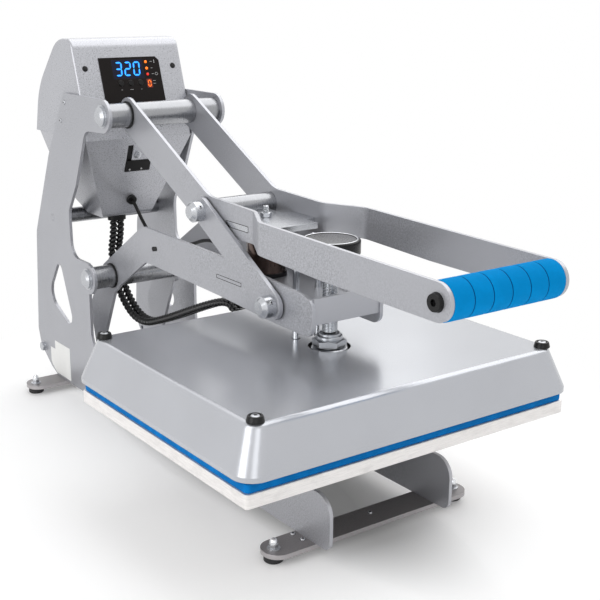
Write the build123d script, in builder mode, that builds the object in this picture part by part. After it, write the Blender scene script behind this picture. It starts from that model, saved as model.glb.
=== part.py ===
"""Clamshell heat press, closed, standing on its four rubber feet.

Millimetres. X runs to the operator's right, Y runs back from the operator and
Z is up. The origin is on the floor under the middle of the whole machine.
Side-view points are written as (distance behind the platen's front, height).
"""

from math import atan2, cos, degrees, hypot, radians, sin, tan
import os

from build123d import *

os.makedirs("parts", exist_ok=True)

# Driving dimensions: platens and cover
platen_width = 500.0
platen_depth = 400.0
platen_front = -385.6
lower_platen_bottom = 134.0
lower_platen_thickness = 17.0
pad_inset = 2.0
pad_thickness = 11.7
heat_platen_inset = 3.0
heat_platen_thickness = 18.0
body_clearance = 0.3
cover_overhang_side = 6.0
cover_overhang_end = 8.0
cover_lip_lift = 2.5
cover_lip_height = 6.0
cover_height = 58.5
cover_slope_side = 20.5
cover_slope_end = 17.0
cover_corner_radius = 26.0
cover_shoulder = 8.0
cover_wall = 2.0
cap_inset_side = 26.0
cap_inset_end = 20.5
cap_base_radius = 10.5
cap_height = 8.0
cap_spacer_radius = 4.6
cap_shank_radius = 4.0
spindle_opening_radius = 28.0
element_tube_radius = 4.0
blanket_thickness = 12.0

# Driving dimensions: frame
frame_width = 200.0
side_plate_thickness = 5.0
foot_bar_length = 326.0
foot_bar_width = 44.0
foot_bar_corner = 21.0
foot_bar_thickness = 6.0
foot_radius = 12.5
foot_height = 10.0
foot_side = 148.0
front_foot_bar_y = 96.0
rear_foot_bar_y = 812.0
pivot_nose_radius = 25.0
bracket_height = 26.0
bracket_width = 40.0
bracket_wall = 4.0

# Driving dimensions: toggle linkage
upper_pivot = (614.0, 485.0)
lower_pivot = (689.0, 219.0)
middle_pivot = (392.0, 375.0)
front_pivot = (222.0, 279.0)
tail_pivot = (745.0, 84.0)
arm_plate_thickness = 5.0
arm_outer_half = 57.0
arm_pivot_radius = 26.0
tail_boss_radius = 14.0
link_thickness = 6.0
link_half_width = 19.0
link_inner_half = 59.2
grip_pivot = (-109.0, 365.0)
handle_end_radius = 21.5
handle_outer_half = 88.0
jog_rear = 273.0
jog_front = 217.0
shaft_radius = 12.7
sleeve_radius = 18.3
washer_thickness = 2.0
washer_radius = 20.5
side_gap = 0.3
running_gap = 0.06
link_pin_radius = 11.0
link_washer_radius = 15.5
collar_radius = 14.5
collar_length = 14.0
pivot_cap_radius = 15.0
pivot_cap_height = 8.0
pivot_cap_bevel = 3.5
pivot_flange_radius = 17.5
pivot_flange_thickness = 1.6
link_cap_radius = 13.0
link_cap_height = 5.0
link_cap_taper = 40.0
middle_tube_radius = 15.0

# Driving dimensions: grip
grip_tube_radius = 12.0
grip_tube_wall = 2.5
grip_plug_length = 20.0
grip_foam_radius = 22.5
grip_groove_spacing = 30.9
grip_groove_width = 1.6
grip_groove_depth = 1.5
grip_bolt_radius = 11.0
grip_bolt_height = 5.0
grip_shank_radius = 5.0

# Driving dimensions: pressure spindle, magnet and keeper
spindle_y = 182.5
spindle_radius = 10.4
journal_radius = 8.0
journal_length = 24.0
thrust_block_radius = 24.0
spindle_nut_corners = 23.0
spindle_nut_height = 13.0
dome_radius = 17.5
dome_height = 9.0
cross_plate_bottom = 284.7
cross_plate_thickness = 5.0
cross_plate_rear = 366.0
cross_tab_front = 304.0
web_front = 146.0
web_thickness = 5.0
web_bottom = 269.0
web_top = 303.0
knob_radius = 38.5
knob_bottom = 347.0
knob_height = 20.0
knob_disc_radius = 33.0
guide_radius = 4.5
guide_side = 18.0
guide_y = 232.0
guide_top = 321.0
socket_depth = 10.0
magnet_y = 328.0
magnet_radius = 27.0
magnet_height = 44.0
magnet_base_radius = 29.0
magnet_base_height = 6.0
armature_thickness = 10.0
keeper_half_width = 36.0
keeper_front = 258.0
keeper_tab_front = 286.0
keeper_tab_length = 54.0
keeper_top = 370.0
keeper_thickness = 8.0
keeper_bolt_radius = 4.0
keeper_bolt_top = 386.0

# Driving dimensions: control head
head_wall = 2.0
head_side_gap = 0.3
panel_bottom = (688.0, 478.0)
panel_top = (724.0, 586.0)
head_bottom = 439.0
head_top = 593.0
head_edge_radius = 4.0
housing_bottom = 304.0
housing_bottom_half = 44.0
overlay_half_width = 52.9
overlay_low = 16.3
overlay_high = 89.6
overlay_thickness = 1.2
overlay_corner = 6.0
window_left = -32.0
window_right = 22.5
window_low = 55.0
window_high = 85.5
button_radius = 4.5
button_row = 47.8
button_middle = -4.0
button_spacing = 17.3
button_stand = 2.2
button_depth = 6.0
lamp_x = 28.7
lamp_rows = (61.1, 70.7, 81.2)
lamp_radius = 1.7
board_depth = 12.0
inlet_height = 376.0
rocker_height = 411.0

# Driving dimensions: rods, springs and cords
tie_rod = (815.0, 299.0)
tie_rod_radius = 12.5
anchor_rod = (200.0, 84.0)
small_rod_radius = 6.0
rod_bolt_radius = 4.0
rod_bolt_length = 15.0
spring_side = 28.0
spring_radius = 10.0
spring_wire_radius = 1.5
lead_radius = 6.25
lead_offset = 6.5
magnet_cable_radius = 2.8

# Derived places
frame_half = frame_width / 2
plate_inner = frame_half - side_plate_thickness
bar_top = foot_height + foot_bar_thickness
lower_platen_top = lower_platen_bottom + lower_platen_thickness
pad_top = lower_platen_top + pad_thickness
heat_bottom = pad_top + body_clearance
heat_top = heat_bottom + heat_platen_thickness
cover_bottom = heat_bottom + cover_lip_lift
cover_top = cover_bottom + cover_height
platen_mid = platen_front + platen_depth / 2
arm_inner = arm_outer_half - arm_plate_thickness
link_outer = link_inner_half + link_thickness
cross_plate_top = cross_plate_bottom + cross_plate_thickness
magnet_base_top = cross_plate_top + magnet_base_height
magnet_top = magnet_base_top + magnet_height
armature_bottom = magnet_top + body_clearance
armature_top = armature_bottom + armature_thickness
keeper_bottom = keeper_top - keeper_thickness
head_half = plate_inner - head_side_gap
handle_inner_half = handle_outer_half - arm_plate_thickness
grip_foam_half = handle_inner_half - side_gap
spacer_inner = arm_outer_half + side_gap + washer_thickness
stub_split = link_inner_half - 0.5
lean = atan2(panel_top[0] - panel_bottom[0], panel_top[1] - panel_bottom[1])


def at(point):
    """Side-view point in model Y and Z."""
    return (platen_front + point[0], point[1])


def outline(rows):
    """Closed side-view line through (back, height, corner radius) rows."""
    return FilletPolyline([at(row) for row in rows], radius=[row[2] for row in rows], close=True)


def save(shape, name):
    """Label one finished piece and write it."""
    shape.label = name
    export_step(shape, f"parts/{name}.step")


def facing(side, point, x):
    """Plane at a side-view point, looking out to the left or the right."""
    y, z = at(point)
    return Plane(origin=(side * x, y, z), x_dir=(0, side, 0), z_dir=(side, 0, 0))


def rod(length, radius, mode=Mode.ADD):
    """Round bar along local Z, starting at the plane."""
    Cylinder(radius, length, align=(Align.CENTER, Align.CENTER, Align.MIN), mode=mode)


# Side plates: one outline for the upright and the leg under the platen
side_plate_rows = [
    (47, bar_top, 12),
    (47, 86, 26),
    (92, 86, 8),
    (142, lower_platen_bottom, 10),
    (425, lower_platen_bottom, 12),
    (455, 95, 20),
    (687, 95, 36),
    (687, 245, 0),
    (748, 245, 26),
    (750, 320, 30),
    (718, 366, 40),
    (676, 457, 20),
    (614, upper_pivot[1] - pivot_nose_radius, 0),
    (614, upper_pivot[1] + pivot_nose_radius, 0),
    (748, upper_pivot[1] + pivot_nose_radius, 6),
    (817, 404, 25),
    (886, 263, 25),
    (903, 84, 18),
    (893, 54, 15),
    (852, 26, 15),
    (828, bar_top, 8),
]
teardrop_rows = [(797, 234, 12), (850, 158, 26), (743, 108, 15)]
shell_screw_spots = [(746, 495), (762, 465)]
ground_bolt = (881, 55)
bracket_spots = (110.0, 300.0)


def side_plate(x_low):
    """One side plate whose left face is at x_low."""
    with BuildPart() as plate:
        with BuildSketch(Plane.YZ.offset(x_low)):
            with BuildLine():
                outline(side_plate_rows)
            make_face()
            with Locations(at(upper_pivot), at(lower_pivot)):
                Circle(pivot_nose_radius)
            with BuildLine():
                outline(teardrop_rows)
            make_face(mode=Mode.SUBTRACT)
            with Locations(at(upper_pivot), at(lower_pivot)):
                Circle(shaft_radius, mode=Mode.SUBTRACT)
            with Locations(*[at(spot) for spot in shell_screw_spots]):
                Circle(2.0, mode=Mode.SUBTRACT)
            with Locations(at(ground_bolt), at(anchor_rod), at(tie_rod)):
                Circle(rod_bolt_radius, mode=Mode.SUBTRACT)
        extrude(amount=side_plate_thickness)
    return plate.part


save(side_plate(-frame_half), "side_plate_left")
save(side_plate(plate_inner), "side_plate_right")

# Foot bars: flat strips across the bottom, with the rubber feet under their ends
foot_spots = [
    (side * foot_side, platen_front + bar_y)
    for side in (-1, 1)
    for bar_y in (front_foot_bar_y, rear_foot_bar_y)
]
with BuildPart() as foot_bars:
    with BuildSketch(Plane.XY.offset(foot_height)):
        for bar_y in (front_foot_bar_y, rear_foot_bar_y):
            with Locations((0, platen_front + bar_y)):
                RectangleRounded(foot_bar_length, foot_bar_width, foot_bar_corner)
        with Locations(*foot_spots):
            Circle(3.2, mode=Mode.SUBTRACT)
    extrude(amount=foot_bar_thickness)
save(foot_bars.part, "foot_bars")

with BuildPart() as rubber_feet:
    with BuildSketch(Plane.XY):
        with Locations(*foot_spots):
            Circle(foot_radius)
    extrude(amount=foot_height)
    chamfer(rubber_feet.edges().group_by(Axis.Z)[0], 1.5)
    with BuildSketch(Plane.XY.offset(3)):
        with Locations(*foot_spots):
            Circle(3.2)
    extrude(amount=foot_height, mode=Mode.SUBTRACT)
save(rubber_feet.part, "rubber_feet")

# Hexagon bolts through the side plates into the rods and the earth stud
with BuildPart() as side_bolts:
    for side in (-1, 1):
        for spot in (tie_rod, anchor_rod):
            with Locations(facing(side, spot, plate_inner - rod_bolt_length)):
                rod(rod_bolt_length + side_plate_thickness, rod_bolt_radius)
        with Locations(facing(side, ground_bolt, plate_inner)):
            rod(side_plate_thickness, rod_bolt_radius)
        for spot in (tie_rod, anchor_rod, ground_bolt):
            with BuildSketch(facing(side, spot, frame_half)):
                Circle(8.5)
            extrude(amount=1.6)
            with BuildSketch(facing(side, spot, frame_half + 1.6)):
                RegularPolygon(7.5, 6)
            extrude(amount=4.4)
save(side_bolts.part, "side_bolts")

# Tubes and rods between the side plates
with BuildPart() as pivot_shafts:
    for pivot in (upper_pivot, lower_pivot):
        with Locations(facing(1, pivot, -frame_half)):
            rod(frame_width, shaft_radius)
        with Locations(facing(1, pivot, side_gap - arm_inner)):
            rod(2 * (arm_inner - side_gap), sleeve_radius)
        for side in (-1, 1):
            with Locations(facing(side, pivot, spacer_inner)):
                rod(plate_inner - spacer_inner, sleeve_radius)
save(pivot_shafts.part, "pivot_shafts")

with BuildPart() as pivot_washers:
    for pivot in (upper_pivot, lower_pivot):
        for side in (-1, 1):
            with BuildSketch(facing(side, pivot, arm_outer_half + side_gap)):
                Circle(washer_radius)
                Circle(shaft_radius, mode=Mode.SUBTRACT)
            extrude(amount=washer_thickness)
save(pivot_washers.part, "pivot_washers")

with BuildPart() as pivot_caps:
    for pivot in (upper_pivot, lower_pivot):
        for side in (-1, 1):
            with BuildSketch(facing(side, pivot, frame_half)):
                Circle(pivot_flange_radius)
            extrude(amount=pivot_flange_thickness)
            with BuildSketch(facing(side, pivot, frame_half + pivot_flange_thickness)):
                Circle(pivot_cap_radius)
            extrude(amount=pivot_cap_height - pivot_flange_thickness - pivot_cap_bevel)
            with BuildSketch(facing(side, pivot, frame_half + pivot_cap_height - pivot_cap_bevel)):
                Circle(pivot_cap_radius)
            extrude(amount=pivot_cap_bevel, taper=55)
save(pivot_caps.part, "pivot_caps")

with BuildPart() as tie_rods:
    for spot, radius in ((tie_rod, tie_rod_radius), (anchor_rod, small_rod_radius)):
        with Locations(facing(1, spot, -plate_inner)):
            rod(2 * plate_inner, radius)
        for side in (-1, 1):
            with Locations(facing(side, spot, plate_inner - rod_bolt_length)):
                rod(rod_bolt_length, rod_bolt_radius, Mode.SUBTRACT)
save(tie_rods.part, "tie_rods")

# Lower platen on its two channels, with the silicone pad on top
with BuildPart() as lower_platen:
    with BuildSketch(Plane.XY.offset(lower_platen_bottom)):
        with Locations((0, platen_mid)):
            RectangleRounded(platen_width, platen_depth, 5)
    extrude(amount=lower_platen_thickness)
    chamfer(lower_platen.edges().group_by(Axis.Z)[-1], 0.8)
    chamfer(lower_platen.edges().group_by(Axis.Z)[0], 0.8)
save(lower_platen.part, "lower_platen")

with BuildPart() as platen_brackets:
    with BuildSketch(Plane.YZ.offset(-plate_inner)):
        for spot in bracket_spots:
            with Locations((platen_front + spot, lower_platen_bottom)):
                Rectangle(bracket_width, bracket_height, align=(Align.CENTER, Align.MAX))
            with Locations((platen_front + spot, lower_platen_bottom - bracket_wall)):
                Rectangle(
                    bracket_width - 2 * bracket_wall,
                    bracket_height,
                    align=(Align.CENTER, Align.MAX),
                    mode=Mode.SUBTRACT,
                )
    extrude(amount=2 * plate_inner)
save(platen_brackets.part, "platen_brackets")

with BuildPart() as silicone_pad:
    with BuildSketch(Plane.XY.offset(lower_platen_top)):
        with Locations((0, platen_mid)):
            RectangleRounded(platen_width - 2 * pad_inset, platen_depth - 2 * pad_inset, 4)
    extrude(amount=pad_thickness)
    chamfer(silicone_pad.edges().group_by(Axis.Z)[0], 1.6)
    chamfer(silicone_pad.edges().group_by(Axis.Z)[-1], 0.6)
save(silicone_pad.part, "silicone_pad")

# Heat platen with its cast-in element, blanket and cover
cap_side = platen_width / 2 - cap_inset_side
cap_end = platen_depth / 2 - cap_inset_end
cap_spots = [(side * cap_side, platen_mid + end * cap_end) for side in (-1, 1) for end in (-1, 1)]
guide_spots = [(side * guide_side, platen_front + guide_y) for side in (-1, 1)]
spindle_spot = (0, platen_front + spindle_y)
element_side = platen_width / 2 - 60
element_back = platen_depth - 30
element_points = [
    (-30, element_back),
    (-element_side, element_back),
    (-element_side, 50),
    (-110, 50),
    (-110, 320),
    (-50, 320),
    (-50, 90),
    (50, 90),
    (50, 320),
    (110, 320),
    (110, 50),
    (element_side, 50),
    (element_side, element_back),
    (30, element_back),
]
with BuildPart() as heating_element:
    with BuildLine() as element_path:
        FilletPolyline([(x, platen_front + y, heat_top) for x, y in element_points], radius=20)
    with BuildSketch(Plane(origin=element_path.line @ 0, z_dir=element_path.line % 0)):
        Circle(element_tube_radius)
    sweep()
save(heating_element.part, "heating_element")

with BuildPart() as heat_platen:
    with BuildSketch(Plane.XY.offset(heat_bottom)):
        with Locations((0, platen_mid)):
            RectangleRounded(
                platen_width - 2 * heat_platen_inset, platen_depth - 2 * heat_platen_inset, 12
            )
    extrude(amount=heat_platen_thickness)
    chamfer(heat_platen.edges().group_by(Axis.Z)[0], 0.8)
    add(heating_element.part, mode=Mode.SUBTRACT)
    with BuildSketch(Plane.XY.offset(heat_top)):
        with Locations(*cap_spots):
            Circle(cap_shank_radius)
        with Locations(*guide_spots):
            Circle(guide_radius)
    extrude(amount=-socket_depth, mode=Mode.SUBTRACT)
save(heat_platen.part, "heat_platen")

blanket_bottom = heat_top + element_tube_radius
with BuildPart() as insulation_blanket:
    with BuildSketch(Plane.XY.offset(blanket_bottom)):
        with Locations((0, platen_mid)):
            RectangleRounded(platen_width - 50, platen_depth - 40, 25)
        with Locations(spindle_spot):
            Circle(thrust_block_radius, mode=Mode.SUBTRACT)
        with Locations(*guide_spots):
            Circle(guide_radius, mode=Mode.SUBTRACT)
        with Locations(*cap_spots):
            Circle(cap_spacer_radius, mode=Mode.SUBTRACT)
    extrude(amount=blanket_thickness)
save(insulation_blanket.part, "insulation_blanket")

cover_width = platen_width + 2 * cover_overhang_side
cover_depth = platen_depth + 2 * cover_overhang_end
cover_rear = platen_mid + cover_depth / 2
lead_entry = 207.0
lead_entry_x = 22.0
gland_width = 2 * (lead_offset + lead_radius) + 6
gland_height = 2 * lead_radius + 6
cover_gland_plane = Plane(
    origin=(lead_entry_x, cover_rear, lead_entry), x_dir=(1, 0, 0), z_dir=(0, -1, 0)
)


def cover_body(inset):
    """Solid body of the cover, drawn in on all sides but the open bottom."""
    with BuildPart() as body:
        with BuildSketch(Plane.XY.offset(cover_bottom)):
            with Locations((0, platen_mid)):
                RectangleRounded(
                    cover_width - 2 * inset, cover_depth - 2 * inset, cover_corner_radius - inset
                )
        extrude(amount=cover_lip_height)
        with BuildSketch(Plane.XY.offset(cover_bottom + cover_lip_height)):
            with Locations((0, platen_mid)):
                RectangleRounded(
                    cover_width - 2 * inset, cover_depth - 2 * inset, cover_corner_radius - inset
                )
        with BuildSketch(Plane.XY.offset(cover_top - inset)):
            with Locations((0, platen_mid)):
                RectangleRounded(
                    cover_width - 2 * cover_slope_side - 2 * inset,
                    cover_depth - 2 * cover_slope_end - 2 * inset,
                    cover_corner_radius - 6 - inset,
                )
        loft(ruled=True)
        fillet(body.edges().group_by(Axis.Z)[-1], cover_shoulder - inset)
    return body.part


with BuildPart() as platen_cover:
    add(cover_body(0))
    add(cover_body(cover_wall), mode=Mode.SUBTRACT)
    with BuildSketch(Plane.XY.offset(cover_top)):
        with Locations(spindle_spot):
            Circle(spindle_opening_radius)
        with Locations(*guide_spots):
            Circle(guide_radius + 1.5)
        with Locations(*cap_spots):
            Circle(cap_shank_radius)
    extrude(amount=-3 * cover_wall, mode=Mode.SUBTRACT)
    with BuildSketch(cover_gland_plane):
        SlotOverall(gland_width, gland_height)
    extrude(amount=30, mode=Mode.SUBTRACT)
save(platen_cover.part, "platen_cover")

with BuildPart() as cover_gland:
    with BuildSketch(cover_gland_plane.offset(-10)):
        SlotOverall(gland_width, gland_height)
    extrude(amount=32)
save(cover_gland.part, "cover_gland")

with BuildPart() as cover_caps:
    with BuildSketch(Plane.XY.offset(heat_top - socket_depth)):
        with Locations(*cap_spots):
            Circle(cap_shank_radius)
    extrude(amount=cover_top - heat_top + socket_depth)
    with BuildSketch(Plane.XY.offset(heat_top)):
        with Locations(*cap_spots):
            Circle(cap_spacer_radius)
    extrude(amount=cover_top - cover_wall - heat_top)
    with BuildSketch(Plane.XY.offset(cover_top)):
        with Locations(*cap_spots):
            Circle(cap_base_radius)
    extrude(amount=cap_height, taper=20)
    with BuildSketch(Plane.XY.offset(cover_top + cap_height)):
        with Locations(*cap_spots):
            RegularPolygon(3.4, 6)
    extrude(amount=-4, mode=Mode.SUBTRACT)
save(cover_caps.part, "cover_caps")

with BuildPart() as thrust_block:
    with BuildSketch(Plane.XY.offset(heat_top)):
        with Locations(spindle_spot):
            Circle(thrust_block_radius)
    extrude(amount=cover_top - heat_top)
    chamfer(thrust_block.edges().group_by(Axis.Z)[-1], 1.5)
    with BuildSketch(Plane.XY.offset(cover_top)):
        with Locations(spindle_spot):
            Circle(journal_radius + running_gap)
    extrude(amount=-(journal_length + 2), mode=Mode.SUBTRACT)
save(thrust_block.part, "thrust_block")

with BuildPart() as guide_rods:
    with BuildSketch(Plane.XY.offset(heat_top - socket_depth)):
        with Locations(*guide_spots):
            Circle(guide_radius)
    extrude(amount=guide_top - heat_top + socket_depth)
    chamfer(guide_rods.edges().group_by(Axis.Z)[-1], 1.2)
save(guide_rods.part, "guide_rods")

# Pressure spindle: journal, locked nut, dome washer, threaded bar and hand knob
spindle_base = cover_top + side_gap
knob_seat = knob_height - 6
with BuildPart() as pressure_spindle:
    with Locations((*spindle_spot, spindle_base - journal_length)):
        rod(journal_length, journal_radius)
    with BuildSketch(Plane.XY.offset(spindle_base)):
        with Locations(spindle_spot):
            RegularPolygon(spindle_nut_corners, 6)
    extrude(amount=spindle_nut_height)
    with BuildSketch(Plane.XY.offset(spindle_base + spindle_nut_height)):
        with Locations(spindle_spot):
            Circle(dome_radius)
    extrude(amount=dome_height, taper=25)
    with Locations((*spindle_spot, spindle_base)):
        rod(knob_bottom - spindle_base, spindle_radius)
    with Locations((*spindle_spot, knob_bottom)):
        rod(knob_seat, journal_radius)
save(pressure_spindle.part, "pressure_spindle")

with BuildPart() as pressure_knob:
    with BuildSketch(Plane.XY.offset(knob_bottom)):
        with Locations(spindle_spot):
            Circle(knob_radius)
    extrude(amount=knob_height)
    fillet(pressure_knob.edges().group_by(Axis.Z)[-1], 3.0)
    chamfer(pressure_knob.edges().group_by(Axis.Z)[0], 2.0)
    with BuildSketch(Plane.XY.offset(knob_bottom + knob_height)):
        with Locations(spindle_spot):
            Circle(knob_disc_radius)
    extrude(amount=-1.2, mode=Mode.SUBTRACT)
    with BuildSketch(Plane.XY.offset(knob_bottom)):
        with Locations(spindle_spot):
            Circle(journal_radius)
    extrude(amount=knob_seat, mode=Mode.SUBTRACT)
save(pressure_knob.part, "pressure_knob")

# Lower arms: forked lever carrying the heat platen, its tail below the pivot
lower_arm_rows = [
    (144, 300, 14),
    (144, 253, 14),
    (236, 254, 200),
    (358, 260, 0),
    (572, 265, 30),
    (671, 202, 0),
    (681, 195, 0),
    (722, 113, 30),
    (731, 84, 0),
    (759, 84, 0),
    (776, 148, 22),
    (756, 180, 20),
    (719, 232, 0),
    (579, 320, 35),
    (356, 317, 0),
    (162, 305, 20),
]


cross_tab_length = cross_plate_rear - cross_tab_front
cross_tab_middle = (
    cross_tab_front + cross_tab_length / 2, cross_plate_bottom + cross_plate_thickness / 2
)


def lower_arm(x_low):
    """One lower arm plate whose left face is at x_low."""
    with BuildPart() as arm:
        with BuildSketch(Plane.YZ.offset(x_low)):
            with BuildLine():
                outline(lower_arm_rows)
            make_face()
            with Locations(at(lower_pivot)):
                Circle(arm_pivot_radius)
            with Locations(at(tail_pivot)):
                Circle(tail_boss_radius)
            with Locations(at(lower_pivot)):
                Circle(shaft_radius + running_gap, mode=Mode.SUBTRACT)
            with Locations(at(front_pivot)):
                Circle(link_pin_radius, mode=Mode.SUBTRACT)
            with Locations(at(tail_pivot)):
                Circle(small_rod_radius, mode=Mode.SUBTRACT)
            with Locations(Location((*at((543, 291)), 0), (0, 0, 1), -12)):
                SlotOverall(18, 7, mode=Mode.SUBTRACT)
            with Locations(at(cross_tab_middle)):
                Rectangle(cross_tab_length + side_gap, cross_plate_thickness + side_gap, mode=Mode.SUBTRACT)
        extrude(amount=arm_plate_thickness)
    return arm.part


save(lower_arm(-arm_outer_half), "lower_arm_left")
save(lower_arm(arm_inner), "lower_arm_right")

with BuildPart() as arm_cross_plate:
    with BuildSketch(Plane.XY.offset(cross_plate_bottom)):
        with Locations((0, platen_front + web_front)):
            Rectangle(2 * arm_inner, cross_plate_rear - web_front, align=(Align.CENTER, Align.MIN))
        with Locations((0, platen_front + cross_tab_middle[0])):
            Rectangle(2 * arm_outer_half, cross_tab_length)
    extrude(amount=cross_plate_thickness)
    with BuildSketch(Plane.XY.offset(web_bottom)):
        with Locations((0, platen_front + web_front)):
            Rectangle(2 * arm_inner, web_thickness, align=(Align.CENTER, Align.MIN))
    extrude(amount=web_top - web_bottom)
    with BuildSketch(Plane.XY.offset(cross_plate_top)):
        with Locations(spindle_spot):
            Circle(spindle_radius + running_gap)
        with Locations(*guide_spots):
            Circle(guide_radius + running_gap)
    extrude(amount=-cross_plate_thickness, mode=Mode.SUBTRACT)
save(arm_cross_plate.part, "arm_cross_plate")

nut_flange_height = 5.0
nut_body_height = 13.0
with BuildPart() as spindle_nut:
    with BuildSketch(Plane.XY.offset(cross_plate_bottom)):
        with Locations(spindle_spot):
            Circle(22)
    extrude(amount=-nut_flange_height)
    with BuildSketch(Plane.XY.offset(cross_plate_bottom - nut_flange_height)):
        with Locations(spindle_spot):
            Circle(16)
    extrude(amount=-nut_body_height)
    with BuildSketch(Plane.XY.offset(cross_plate_bottom)):
        with Locations(spindle_spot):
            Circle(spindle_radius + running_gap)
    extrude(amount=-(nut_flange_height + nut_body_height), mode=Mode.SUBTRACT)
save(spindle_nut.part, "spindle_nut")

with BuildPart() as tail_rod:
    with Locations(facing(1, tail_pivot, -arm_outer_half)):
        rod(2 * arm_outer_half, small_rod_radius)
save(tail_rod.part, "tail_rod")

# Front pins: each carries one end of a link between a washer and a collar
front_collar_start = link_outer + side_gap
with BuildPart() as front_pins:
    for side in (-1, 1):
        with Locations(facing(side, front_pivot, arm_inner)):
            rod(front_collar_start + collar_length - arm_inner, link_pin_radius)
        with Locations(facing(side, front_pivot, front_collar_start)):
            rod(collar_length, collar_radius)
        with BuildSketch(facing(side, front_pivot, front_collar_start + collar_length)):
            Circle(link_cap_radius)
        extrude(amount=link_cap_height, taper=link_cap_taper)
save(front_pins.part, "front_pins")

with BuildPart() as front_washers:
    for side in (-1, 1):
        with BuildSketch(facing(side, front_pivot, arm_outer_half)):
            Circle(link_washer_radius)
            Circle(link_pin_radius, mode=Mode.SUBTRACT)
        extrude(amount=link_inner_half - side_gap - arm_outer_half)
save(front_washers.part, "front_washers")

# Magnet that holds the press closed
magnet_spot = (0, platen_front + magnet_y)
magnet_cable_entry = 306.0
with BuildPart() as magnet_base:
    with BuildSketch(Plane.XY.offset(cross_plate_top)):
        with Locations(magnet_spot):
            Circle(magnet_base_radius)
    extrude(amount=magnet_base_height)
    chamfer(magnet_base.edges().group_by(Axis.Z)[-1], 1.0)
save(magnet_base.part, "magnet_base")

with BuildPart() as holding_magnet:
    with BuildSketch(Plane.XY.offset(magnet_base_top)):
        with Locations(magnet_spot):
            Circle(magnet_radius)
    extrude(amount=magnet_height)
    chamfer(holding_magnet.edges().group_by(Axis.Z)[-1], 0.8)
    with BuildSketch(
        Plane(origin=(0, magnet_spot[1] + magnet_radius - 3, magnet_cable_entry), z_dir=(0, 1, 0))
    ):
        Circle(4.5)
    extrude(amount=8)
save(holding_magnet.part, "holding_magnet")

# Handle: bent arms, middle tube, keeper and grip
handle_rows = [
    (-109, 386.5, 0),
    (-109, 343.5, 0),
    (87, 345, 0),
    (226, 350, 150),
    (396, 347, 60),
    (625.5, 461.7, 0),
    (602.5, 508.3, 0),
    (384, 396, 60),
    (276, 393, 0),
    (51, 389, 0),
]
handle_band = [
    (-160, handle_outer_half, 0),
    (jog_front, handle_outer_half, 30),
    (jog_rear, arm_outer_half, 25),
    (660, arm_outer_half, 0),
    (660, arm_inner, 0),
    (jog_rear - 1.5, arm_inner, 30),
    (jog_front - 1.5, handle_inner_half, 25),
    (-160, handle_inner_half, 0),
]


keeper_tab_middle = (keeper_tab_front + keeper_tab_length / 2, keeper_top - keeper_thickness / 2)


def handle_arm(side):
    """One handle arm: its side outline cut from a bent upright band."""
    with BuildPart() as arm:
        with BuildSketch(Plane.XY.offset(330)):
            with BuildLine():
                FilletPolyline(
                    [(side * row[1], platen_front + row[0]) for row in handle_band],
                    radius=[row[2] for row in handle_band],
                    close=True,
                )
            make_face()
        extrude(amount=190)
        with BuildSketch(Plane.YZ.offset(-frame_half)):
            with BuildLine():
                outline(handle_rows)
            make_face()
            with Locations(at(upper_pivot)):
                Circle(arm_pivot_radius)
            with Locations(at(grip_pivot)):
                Circle(handle_end_radius)
            with Locations(at(upper_pivot)):
                Circle(shaft_radius + running_gap, mode=Mode.SUBTRACT)
            with Locations(at(middle_pivot)):
                Circle(link_pin_radius, mode=Mode.SUBTRACT)
            with Locations(at(grip_pivot)):
                Circle(grip_shank_radius, mode=Mode.SUBTRACT)
            with Locations(at(keeper_tab_middle)):
                Rectangle(keeper_tab_length + side_gap, keeper_thickness + side_gap, mode=Mode.SUBTRACT)
        extrude(amount=frame_width, mode=Mode.INTERSECT)
    return arm.part


save(handle_arm(-1), "handle_arm_left")
save(handle_arm(1), "handle_arm_right")

with BuildPart() as middle_tube:
    with Locations(facing(1, middle_pivot, -arm_inner)):
        rod(2 * arm_inner, middle_tube_radius)
    with Locations(facing(1, middle_pivot, -stub_split)):
        rod(2 * stub_split, link_pin_radius)
save(middle_tube.part, "middle_tube")

with BuildPart() as keeper_plate:
    with BuildSketch(Plane.XY.offset(keeper_bottom)):
        with Locations((0, platen_front + keeper_front)):
            Rectangle(
                2 * keeper_half_width,
                middle_pivot[0] - keeper_front,
                align=(Align.CENTER, Align.MIN),
            )
        with Locations((0, platen_front + keeper_tab_middle[0])):
            Rectangle(2 * arm_outer_half, keeper_tab_length)
        with Locations(magnet_spot):
            Circle(keeper_bolt_radius, mode=Mode.SUBTRACT)
    extrude(amount=keeper_thickness)
    with BuildSketch(Plane.YZ.offset(-keeper_half_width)):
        with Locations(at(middle_pivot)):
            Circle(middle_tube_radius)
    extrude(amount=2 * keeper_half_width, mode=Mode.SUBTRACT)
save(keeper_plate.part, "keeper_plate")

armature_socket = 6.0
with BuildPart() as armature:
    with BuildSketch(Plane.XY.offset(armature_bottom)):
        with Locations(magnet_spot):
            Circle(magnet_radius)
    extrude(amount=armature_thickness)
    with BuildSketch(Plane.XY.offset(armature_top)):
        with Locations(magnet_spot):
            Circle(keeper_bolt_radius)
    extrude(amount=-armature_socket, mode=Mode.SUBTRACT)
save(armature.part, "armature")

with BuildPart() as keeper_bolt:
    with Locations((*magnet_spot, armature_top - armature_socket)):
        rod(keeper_bolt_top - armature_top + armature_socket, keeper_bolt_radius)
    with BuildSketch(Plane.XY.offset(keeper_top)):
        with Locations(magnet_spot):
            RegularPolygon(8, 6)
    extrude(amount=6.5)
    with BuildSketch(Plane.XY.offset(keeper_bottom)):
        with Locations(magnet_spot):
            RegularPolygon(8, 6)
    extrude(amount=-6.5)
save(keeper_bolt.part, "keeper_bolt")

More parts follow.
